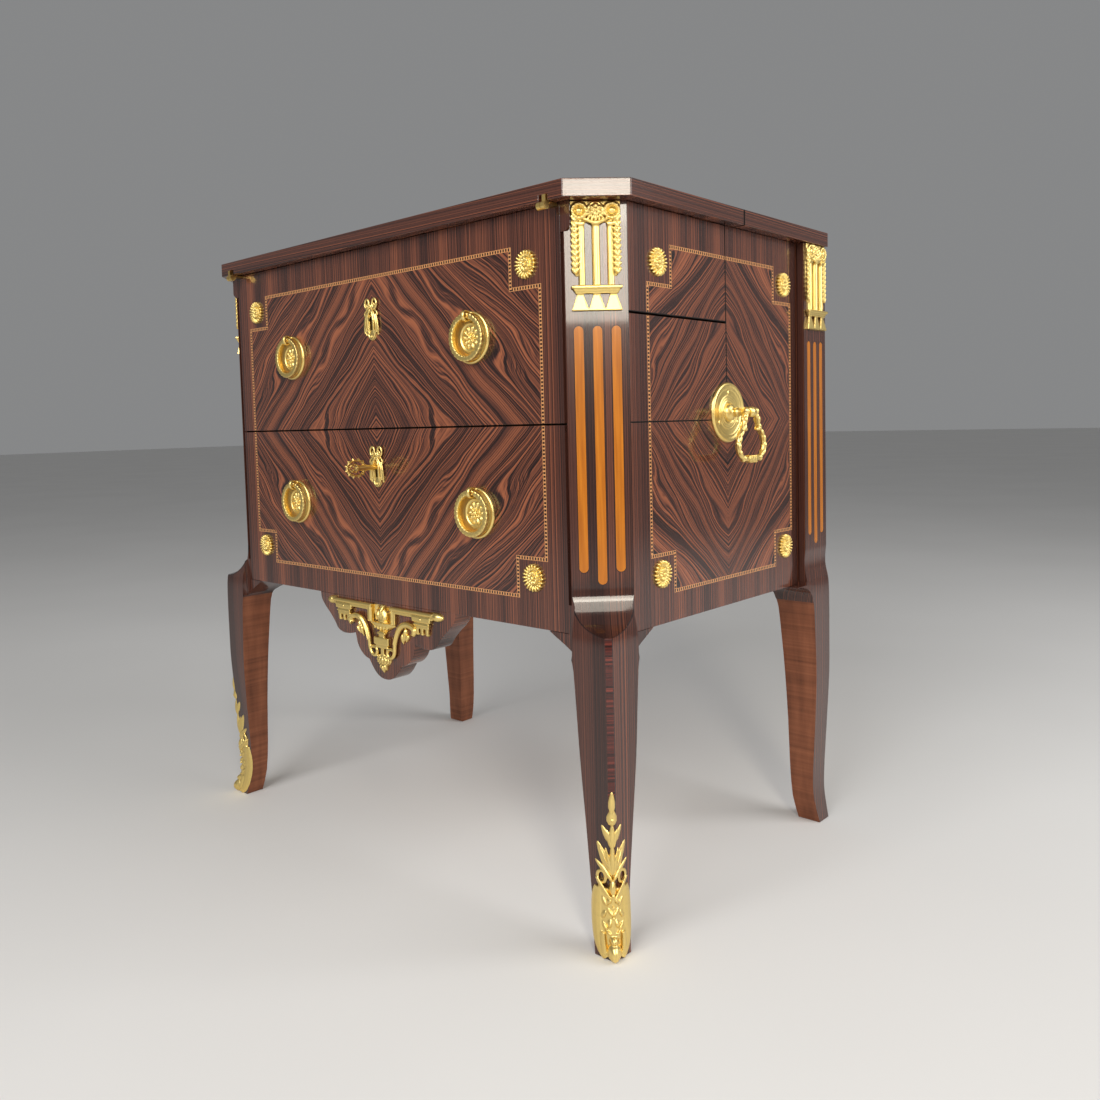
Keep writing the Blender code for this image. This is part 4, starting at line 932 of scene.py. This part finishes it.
# %% Apron mount
def apron_side(sx):
    parts = [bar(sx * 18.5, sx * 97.0, 314.4, 322.6, 4.4, 0, 0.7), bar(sx * 18.5, sx * 97.0, 318.8, 321.6,
                                                                       5.6, 0, 0.6),
             bar(sx * 18.5, sx * 27.0, 300.0, 322.6, 4.4, 0, 0.7), bar(sx * 20.3, sx * 23.2, 300.0, 321.0,
                                                                       5.4),
             bar(sx * 60.0, sx * 93.0, 310.4, 317.0, 5.2, 0, 0.7), bar(sx * 64.0, sx * 89.6, 302.4, 312.0,
                                                                       4.2, 0, 0.6),
             bar(sx * 62.6, sx * 91.0, 306.4, 308.4, 5.0, 0, 0.6), boss(sx * 76.0, 313.6, 2.4, 2.4, 6.4),
             boss(sx * 98.0, 319.2, 2.6, 5.4, 5.6), petal(sx * 105.4, 319.0, 5.4, 8.6, 6.2, -sx * 90, 0, 0.7)]
    for x in (86.0, 77.0, 68.5):
        parts += [bar(sx * x - 2.4, sx * x + 2.4, 296.4, 304.0, 4.2, 0, 0.8),
                  boss(sx * x, 296.2, 2.9, 2.4, 4.6)]
    arm = [(60.5, 293.6), (64.0, 295.4), (63.0, 300.2), (55.0, 304.4), (43.5, 304.0), (34.0, 297.0),
           (28.0, 286.0),
           (24.6, 275.0), (24.8, 266.0), (20.4, 258.4), (13.2, 257.4), (9.4, 262.6), (10.6, 268.4),
           (17.4, 269.8),
           (23.4, 267.0)]
    size = (1.1, 1.2, 1.2, 1.3, 1.4, 1.3, 1.1, 0.95, 0.9, 0.8, 0.8, 0.75, 0.75, 0.7, 0.6)
    parts += [strand([(sx * x, y, 3.2) for x, y in arm], 3.0, size),
              strand([(sx * x * 1.03, y + 1.6, 6.4) for x, y in arm[2:8]], 0.9),
              boss(sx * 62.0, 296.6, 3.9, 3.9, 5.6),
              petal(sx * 44.0, 290.4, 3.2, 9.0, 4.0, 180 - sx * 18, 0.8, 1.2),
              petal(sx * 39.8, 285.0, 2.6, 7.4, 4.2, 180 - sx * 6, 0.8, 1.1),
              petal(sx * 47.6, 286.0, 2.3, 6.4, 3.6, 180 - sx * 34, 0.8, 1.1)]
    return parts


apron_parts = apron_side(-1) + apron_side(1)
bowl = turned([(0, 9.0), (6.0, 9.0), (8.0, 8.0), (18.0, 3.4), (24.0, 0.4), (25.6, -1.6), (25.6, -3.4),
               (0, -3.4)])
rolled(bowl, "X", -math.pi / 2)
apron_parts += [settled(bowl, (0, 297.4, 0), (FULL, FULL, 0.24 * FULL)),
                bar(-8.0, 8.0, 286.0, 288.6, 5.4, 0, 0.8),
                bar(-5.2, 5.2, 280.0, 290.0, 4.6, 0, 1.0), bar(-14.4, 14.4, 272.8, 282.0, 5.6, 0, 0.6),
                bar(-11.6, 11.6, 268.6, 274.0, 5.0, 0, 0.6), bar(-3.0, 3.0, 258.0, 270.0, 4.2)]
apron_parts += [boss(x, 293.6 + 0.12 * abs(x), 1.6, 3.0, 1.6, 0, 5.0 - 0.08 * abs(x)) for x in (-12, -6, 0,
                                                                                                6, 12)]
apron_parts += [petal(0, 313.0, 7.6, 10.6, 5.2, 6, 0.6, 0.9), petal(-5.6, 309.6, 4.8, 7.0, 4.8, 14, 0.6, 0.9),
                petal(5.6, 309.0, 4.8, 6.6, 4.8, -14, 0.6, 0.9), petal(2.6, 316.0, 2.2, 7.4, 6.4, -14, 0.6,
                                                                       1.0),
                petal(-2.8, 312.6, 2.0, 6.8, 6.6, 12, 0.6, 1.0), boss(0, 303.2, 9.8, 3.2, 5.2),
                boss(0, 253.6, 13.6, 8.4, 4.2)]
for ring, count in ((0.86, 14), (0.5, 8)):
    for angle in turn_about(count):
        x, y = polar(ring, angle)
        apron_parts.append(boss(12.2 * x, 253.6 + 7.2 * y, 2.0, 1.7, 1.5, 0,
                                4.2 * math.sqrt(1 - 0.8 * ring * ring)))
apron_parts += [boss(0, 253.6, 3.0, 2.6, 2.0, 0, 4.2), petal(0, 242.2, 3.4, 5.6, 4.6, 180, 0.8, 1.2),
                petal(-4.2, 244.4, 2.5, 4.4, 4.0, 164, 0.8, 1.0), petal(4.2, 244.4, 2.5, 4.4, 4.0, 196, 0.8,
                                                                        1.0)]
apron_mount = cast(apron_parts, 0.6, 1)
mounted(apron_mount, "apron_mount_cast", standing((1, 0, 0), (0, -1, 0), (0.0, apron_low.y, 0.0)),
        body_of["apron_mount"], "apron_mount")
print("apron mount", len(apron_mount.data.polygons), "faces")
bpy.data.objects.remove(apron_mount)

# %% [markdown]
# The front legs end in a gilded shoe that wraps the corner of the foot: two plain rounded flanges, a panel
# of foliage between them, a scrolled toe, two open loops and three tiers of leaves up to a bud. It is
# modelled flat like the other mounts. Its points are then laid on the corner of the leg, which is read from
# the solid post, so it sits on the wood however the leg curves.

# %% Front foot mounts
SHOE_STEM = [  # along the middle: height, half width, half length, relief
    (164.0, 3.8, 11.5, 3.2), (148.5, 5.4, 9.5, 3.6), (128.0, 3.6, 13.5, 4.2), (104.0, 3.2, 19.0, 4.8),
    (73.0, 4.4, 9.5, 6.6)]
SHOE_PAIRS = [  # off the middle: across, height, half width, half length, relief, lean
    (5.7, 129.5, 3.2, 10.0, 3.2, 25.0), (2.9, 125.0, 2.4, 10.5, 3.8, 12.0),
    (7.6, 103.5, 4.3, 17.5, 3.4, 22.0),
    (7.8, 104.5, 1.0, 14.5, 4.6, 22.0), (3.7, 100.0, 2.4, 16.0, 4.4, 10.0), (8.8, 91.0, 3.0, 11.5, 3.2, 42.0),
    (5.2, 87.0, 2.2, 9.5, 4.4, 32.0), (12.6, 76.0, 2.6, 7.5, 4.8, 22.0),
    (3.6, 60.5, 2.7, 6.2, 6.8, -30.0), (8.6, 58.5, 2.6, 7.0, 6.4, 28.0), (3.4, 48.5, 2.6, 6.6, 6.8, 38.0),
    (8.8, 45.0, 2.4, 6.8, 6.4, -24.0), (3.8, 37.0, 2.7, 6.0, 6.8, -16.0), (9.0, 33.0, 2.4, 6.0, 6.4, 30.0),
    (6.2, 28.0, 2.0, 5.2, 6.6, 60.0)]


def corner_line(node, sx):
    reach = {}
    for vertex in nodes[node].data.vertices:
        beyond, before = sx * vertex.co.x - SIDE, FRONT - vertex.co.y
        if abs(beyond - before) < 0.0001 and beyond > -0.004:
            reach[vertex.co.z / MM] = (beyond + before) / math.sqrt(2) / MM
    return sorted(item for item in reach.items() if item[0] < 300.0)


def reach_at(line, z):
    for (z0, r0), (z1, r1) in zip(line, line[1:]):
        if z <= z1:
            return r0 + (r1 - r0) * max(z - z0, 0.0) / (z1 - z0)
    return line[-1][1]


shoe_parts = [petal(0, z, w, l, r, 0, 0, 0.7) for z, w, l, r in SHOE_STEM]
shoe_parts += [boss(0, z, 1.5, 1.5, 1.6, 0, lift) for z, lift in ((146.0, 3.2), (66.0, 6.0), (53.5, 5.6),
                                                                  (42.5, 5.6))]
shoe_parts += [bar(-14.0, 14.0, 9.0, 72.0, 4.0, 0, 1.2), boss(0, 9.0, 8.6, 9.6, 11.5),
               boss(0, 20.0, 5.6, 5.0, 8.6)]
for m in (-1, 1):
    shoe_parts += [petal(m * a, z, w, l, r, -m * lean, 0, 0.65) for a, z, w, l, r, lean in SHOE_PAIRS]
    flange = strand([(m * 8.0, 3.0, 0), (m * 12.6, 7.0, 0), (m * 14.4, 22.0, 0), (m * 14.6, 45.0, 0),
                     (m * 14.0, 64.0, 0),
                     (m * 12.6, 70.0, 0)], 6.0, (0.9, 0.96, 1.0, 1.0, 0.96, 0.74))
    shoe_parts += [settled(flange, (0, 0, 0), (FULL, FULL, 0.92 * FULL)),
                   strand([(m * (10.6 + 4.0 * math.cos(t)), 82.5 + 6.8 * math.sin(t), 2.0)
                           for t in (math.radians(a) for a in turn_about(10))], 1.5, None, True),
                   strand([(m * 15.6, 81.0, 3.4), (m * 10.0, 72.0, 5.2), (m * 3.4, 63.0, 6.0)], 1.9,
                          (0.7, 1.1, 0.9)),
                   strand([(m * 10.8, 26.0, 5.0), (m * 11.4, 16.0, 5.6), (m * 9.6, 7.0, 5.4)], 2.4,
                          (0.8, 1.1, 0.9)),
                   boss(m * 12.4, 9.0, 4.2, 6.0, 5.4, m * 20)]
shoe = cast(shoe_parts, 0.45, 1)
for sx, side in SIDES:
    only(shoe)
    bpy.ops.object.duplicate()
    piece = bpy.context.object
    line = corner_line("post_front_" + side, sx)
    for vertex in piece.data.vertices:
        s, z, high = vertex.co / MM
        out = reach_at(line, z) - math.hypot(s, 3.4) + high
        vertex.co = (sx * (SIDE + (sx * s + out) * DIAGONAL * MM), FRONT + (sx * s - out) * DIAGONAL * MM,
                     max(z, 0.0) * MM)
    hand_over(piece, "sabot_front_%s_cast" % side, gilt_bronze, "gilt_bronze", "case", "sabot_front_" + side)
print("2 foot mounts, %d faces each" % len(shoe.data.polygons))
bpy.data.objects.remove(shoe)

# %% [markdown]
# Under the drawer and under the side a small wing springs from each front leg. In the solid posts the wings
# stand out of the faces above them and curve. On a merged copy, cuts beside the leg mark them off. Their
# points are then brought flush with those faces and onto a nearly straight slope.

# %% Wings of the front posts
WING_IN, WING_EASE, FLUSH, SHOULDER_TOP = 0.0410, 0.0015, 0.0003, FOOT + 0.0465
WING_LINE = [  # height in the solid, height here
    (302.0, 302.0), (309.1, 304.6), (315.6, 308.7), (320.7, 313.8), (324.0, 319.4), (325.1, 325.9)]
WING_FOOT = WING_LINE[0][0] * MM


def pick(mesh, kind, rule):
    """Selects the faces or edges that the rule takes, and nothing else."""
    for items in (mesh.vertices, mesh.edges, mesh.polygons):
        items.foreach_set("select", [False] * len(items))
    for item in getattr(mesh, kind):
        item.select = rule(item)
    bpy.context.tool_settings.mesh_select_mode = (False, kind == "edges", kind == "polygons")
    return sum(item.select for item in getattr(mesh, kind))


def mark_wings(piece, sx):
    def near_wing(face):
        under = face.center.z < FOOT and face.normal.z < -0.2
        return face.center.z < SHOULDER_TOP and (face.normal.y < -0.9 or sx * face.normal.x > 0.9 or under)

    for ease in (0.0, WING_EASE):
        beside_front = ((sx * (SIDE - WING_IN + ease), 0, 0), (1, 0, 0))
        beside_side = ((0, FRONT + WING_IN - ease, 0), (0, 1, 0))
        for place, way in (beside_front, beside_side):
            pick(piece.data, "polygons", near_wing)
            edit(piece, lambda: bpy.ops.mesh.bisect(plane_co=place, plane_no=way), everything=False)


def flush_wings(piece, sx):
    for vertex in piece.data.vertices:
        x, y, z = sx * vertex.co.x, vertex.co.y, vertex.co.z
        if WING_FOOT < z < FOOT - 0.0002 and (x < SIDE - 0.0404 or y > FRONT + 0.0404):
            vertex.co.z = reach_at(WING_LINE, z / MM) * MM
        if WING_FOOT < z < SHOULDER_TOP:
            if x < SIDE - WING_IN + 0.0002 and y < FRONT:
                vertex.co.y = FRONT - FLUSH
            if y > FRONT + WING_IN - 0.0002 and x > SIDE:
                vertex.co.x = sx * (SIDE + FLUSH)


front_posts = [(sx, "post_front_" + side, copied("post_front_" + side)) for sx, side in SIDES]
for sx, node, piece in front_posts:
    mark_wings(piece, sx)
    flush_wings(piece, sx)
print("wings flush on", len(front_posts), "posts")

# %% [markdown]
# The front posts carry a narrow flat down the corner of the leg, from the hollow that ends the canted face
# to the tip of the foot mount. It is a bevel on the corner edge; the other sharp edges get a fine round. The
# hollow is a row of facets in the solid, so it is shaded as one curve: each corner of a facet faces the way
# that a round hollow does at its height.

# %% Front posts
CORNER_FLAT, FINE_ROUND = 0.0050, 0.0007


def on_corner(mesh, edge, sx):
    points = [mesh.vertices[k].co for k in edge.vertices]
    return all(abs((sx * p.x - SIDE) - (FRONT - p.y)) < 0.0001 and p.z < FOOT + 0.012 and sx * p.x > SIDE - 0.004
               for p in points)


def across_hollow(mesh, edge, sx):
    one, two = (mesh.vertices[k].co for k in edge.vertices)
    middle = (one + two) / 2
    return (abs(one.z - two.z) < 0.0002 and STOP_TIP < middle.z < STOP_TOP + 0.001
            and sx * middle.x < SIDE - 0.002 and middle.y > FRONT + 0.002)


def shade_hollow(mesh, sx):
    normals = [corner.vector.copy() for corner in mesh.corner_normals]
    for face in mesh.polygons:
        across, toward, rise = sx * face.normal.x, face.normal.y, face.normal.z
        if STOP_TIP < face.center.z < STOP_TOP and rise > 0.05 and across > 0.1 and abs(across + toward) < 0.02:
            for loop in face.loop_indices:
                z = mesh.vertices[mesh.loops[loop].vertex_index].co.z
                fall = min(max((STOP_TOP - z) / (STOP_TOP - STOP_TIP), 0.0), 0.99)
                level = math.sqrt((1 - fall * fall) / 2)
                normals[loop] = (sx * level, -level, fall)
    mesh.normals_split_custom_set(normals)


for sx, node, piece in front_posts:
    mesh = piece.data
    count = pick(mesh, "edges", lambda edge: on_corner(mesh, edge, sx))
    edit(piece, lambda: bpy.ops.mesh.bevel(offset=CORNER_FLAT, offset_type="OFFSET", segments=1,
                                           affect="EDGES"),
         lambda: bpy.ops.mesh.select_all(action="DESELECT"),
         lambda: bpy.ops.mesh.edges_select_sharp(sharpness=math.radians(24)), everything=False)
    sharp = {edge.index for edge in mesh.edges if edge.select}
    pick(mesh, "edges", lambda edge: edge.index in sharp and not across_hollow(mesh, edge, sx))
    edit(piece, lambda: bpy.ops.mesh.bevel(offset=FINE_ROUND, offset_type="OFFSET", segments=2,
                                           affect="EDGES",
                                           clamp_overlap=True), everything=False)
    bpy.context.tool_settings.mesh_select_mode = (True, False, False)
    smoothed(piece, 40.0)
    applied(piece, "WEIGHTED_NORMAL", weight=100, keep_sharp=True)
    shade_hollow(mesh, sx)
    hand_over(piece, node + "_soft", post_wood, "rosewood", "case", node)
    print(node, "corner edges bevelled:", count)

# %% [markdown]
# A drop handle hangs on each side: a dished plate with turned rings and three screws, a round boss, a short
# neck and a barrel that the bail turns in. The bail is pear-shaped, with leaves along its arms and a banded
# grip.

# %% Side handles
handle_at = joint_place("bail_right_swing")
EYE_OUT, HANDLE_Z = (handle_at[0] - SIDE) / MM, handle_at[2]
BAIL_HALF, BAIL_DROP = 29.0, 53.0
handle_parts = [turned([(0, 0), (34.5, 0), (34.5, 1.4), (33.8, 2.8), (32.4, 3.6), (30.6, 3.4), (28.4, 2.6),
                        (26.6, 2.9),
                        (25.2, 2.3), (20.0, 1.9), (18.6, 2.5), (17.2, 2.0), (15.8, 2.7), (14.4, 2.2),
                        (13.0, 3.2),
                        (11.6, 2.0), (10.4, 2.0), (10.2, 4.4), (9.2, 6.6), (7.0, 8.4), (5.2, 9.6),
                        (4.6, 12.0),
                        (5.4, 13.4), (5.4, 15.0), (4.4, 16.4), (4.2, 21.0), (5.4, 23.4), (6.2, 26.0),
                        (0, 27.0)],
                       steps=72)]
barrel = turned([(0, -5.0), (4.2, -5.0), (5.6, -4.0), (6.2, -1.6), (6.2, 1.6), (5.6, 4.0), (4.2, 5.0),
                 (0, 5.0)])
rolled(barrel, "Y")
handle_parts.append(settled(barrel, (0, 0, EYE_OUT), (FULL, FULL, FULL)))
for angle in (90.0, 210.0, 330.0):
    x, y = polar(22.6, angle)
    handle_parts.append(turned([(0, 1.0), (1.9, 1.0), (1.9, 2.7), (1.2, 3.1), (0, 3.1)], x, y, 16))
handle = cast(handle_parts, 0.58, 1)

ARM = [(0.345, 0.0), (0.448, 0.113), (0.517, 0.283), (0.862, 0.491), (1.0, 0.717), (0.828, 0.943),
       (0.414, 1.0)]
loop = [(0.0, 0.0)] + ARM + [(0.0, 1.0)] + [(-a, d) for a, d in reversed(ARM)]
bail_parts = [strand([(BAIL_HALF * a, -BAIL_DROP * d, 0.0) for a, d in loop], 2.9,
                     [0.85 + 0.35 * max(0.0, d - 0.4) for a, d in loop], True)]
for m in (-1, 1):
    bail_parts += [boss(m * 10.2, 0.6, 2.6, 4.6, 4.6), boss(m * 11.6, -4.6, 3.0, 3.2, 3.6),
                   boss(m * 14.4, -19.0, 3.8, 2.6, 3.8, m * 30)]
    for a, d, turn, long in ((14.0, 10.0, 188, 5.4), (17.2, 18.2, 214, 5.6), (23.0, 24.6, 222, 6.0),
                             (26.6, 32.0, 196, 6.0), (27.6, 40.0, 176, 5.6), (24.4, 46.6, 140, 5.0)):
        bail_parts += [petal(m * a, -d, 2.3, long, 1.9, m * (turn - 360), lift, 0.9)
                       for lift in (2.0, -2.0)]
    bail_parts += [boss(m * 17.6, -52.2, 2.2, 4.4, 4.2, m * 12), boss(m * 29.0, -36.0, 2.0, 3.2, 2.6)]
bail_parts += [bar(x - 1.5, x + 1.5, -57.4, -48.8, 8.4, -4.2, 0.8) for x in (-6.0, -2.0, 2.0, 6.0)]
bail_parts += [boss(0, -53.2, 11.0, 3.5, 3.6)]
bail = cast(bail_parts, 0.5, 1, back=False)
for sx, side in SIDES:
    mounted(handle, "handle_plate_%s_cast" % side, on_side(sx, MIDDLE_Y, HANDLE_Z), "case",
            "handle_plate_" + side)
    mounted(bail, "handle_bail_%s_cast" % side,
            standing((0, sx, 0), (sx, 0, 0), (sx * (SIDE + EYE_OUT * MM), MIDDLE_Y, HANDLE_Z)),
            "bail_" + side,
            "handle_bail_" + side)
bpy.data.objects.remove(handle)
bpy.data.objects.remove(bail)
print("2 handles, barrel %.1f mm out" % EYE_OUT)

# %% [markdown]
# The key stays in the lower lock. Its shank is turned, and its bow is an oval wreath of leaves pierced
# through. It is laid out flat, x out of the drawer and y up, and then stood on edge.

# %% Key
shank_end = (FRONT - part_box("key")[1].y) / MM
BOW_X, BOW_RX, BOW_RY = 33.0, 13.0, 9.6
key_parts = [strand([(BOW_X + BOW_RX * math.cos(t), BOW_RY * math.sin(t), 0) for t in
                     (math.radians(a) for a in turn_about(16))], 1.7, None, True)]
for angle in turn_about(12, 15.0):
    x, y = polar(1.0, angle)
    key_parts.append(petal(BOW_X + 13.9 * x, 10.4 * y, 1.8, 2.6, 2.0, angle - 90, 0, 0.8))
for m in (-1, 1):
    key_parts.append(strand([(24.5, 0, 0), (29.0, m * 1.4, 0), (32.0, m * 5.0, 0), (36.0, m * 5.4, 0),
                             (38.0, m * 2.6, 0),
                             (35.4, m * 1.2, 0)], 1.15))
    key_parts.append(petal(39.6, m * 3.4, 1.3, 3.4, 1.4, -90 - m * 30, 0, 0.8))
key_parts += [boss(42.4, 0, 2.4, 1.8, 1.8), boss(31.5, 0, 2.6, 1.7, 1.8)]
shank = turned([(0, shank_end), (3.4, shank_end), (3.4, 8.0), (3.0, 9.0), (2.6, 11.0), (2.6, 15.5),
                (3.8, 16.6), (4.6, 18.0),
                (3.8, 19.4), (2.8, 20.2), (3.6, 21.6), (3.0, 23.2), (0, 24.0)], steps=28)
rolled(shank, "Y")
key_parts += [shank, bar(-26.5, -32.0, -9.0, 0.0, 2.4, -1.2, 0.3)]
key = cast(key_parts, 0.4, 1, back=False)
key.matrix_world = standing((0, -1, 0), (-1, 0, 0), (key_at[0], FRONT, key_at[2]))
only(key)
bpy.ops.object.transform_apply(location=True, rotation=True, scale=True)
hand_over(key, "key_cast", brass, "brass", "key", "key")
print("key reaches %.1f mm out of the drawer" % ((FRONT - min(v.co.y for v in key.data.vertices)) / MM))

# %% [markdown]
# The floor is a wide pale sheet. Four soft boxes light the desk: a large one in front, one from the right,
# and two small warm ones behind the camera. The lower of those shines on the canted corner, and the tall
# upper one in the hollow below it. The world fills the shadows.

# %% Floor, lamps and world
FLOOR_Z = -0.0005
WARM = (1.0, 0.93, 0.80)
floor = blank("plane", size=60.0, location=(0, 0, FLOOR_Z))
floor.name = "floor"
floor_paint, place, _ = finish("pale_floor", Roughness=0.7)
wire(floor_paint, Base_Color=place.cloud(1.5, 2.0).ramp((0.3, (0.70, 0.69, 0.675)),
                                                        (0.7, (0.73, 0.72, 0.705))))
floor.data.materials.append(floor_paint)


def soft_box(name, place, target, wide, high, power, colour=(1.0, 1.0, 1.0)):
    bpy.ops.object.light_add(type="AREA", location=place)
    lamp = bpy.context.object
    lamp.name = name
    lamp.data.shape = "RECTANGLE"
    lamp.data.size, lamp.data.size_y, lamp.data.energy = wide, high, power
    lamp.data.color = colour
    lamp.rotation_euler = (Vector(place) - Vector(target)).to_track_quat("Z", "Y").to_euler()
    return lamp


soft_box("lamp_front", (0.5, -3.0, 2.2), (0, -0.1, 0.45), 2.2, 2.2, 85.0)
soft_box("lamp_right", (2.6, 1.0, 1.6), (0, 0, 0.4), 2.0, 2.0, 55.0)
soft_box("lamp_behind_camera", (1.90, -1.446, 1.09), (0.33, -0.18, 0.70), 0.30, 0.48, 7.4, WARM)
soft_box("lamp_above_camera", (1.845, -1.412, 1.777), (0.34, -0.19, 0.36), 0.34, 1.38, 11.5, WARM)
world = bpy.data.worlds.new("studio")
bpy.context.scene.world = world
world.use_nodes = True
background = world.node_tree.nodes["Background"]
background.inputs["Color"].default_value = (0.86, 0.87, 0.88, 1.0)
background.inputs["Strength"].default_value = 0.28
bpy.context.scene.view_settings.view_transform = "Standard"
print("floor and lamps ready")
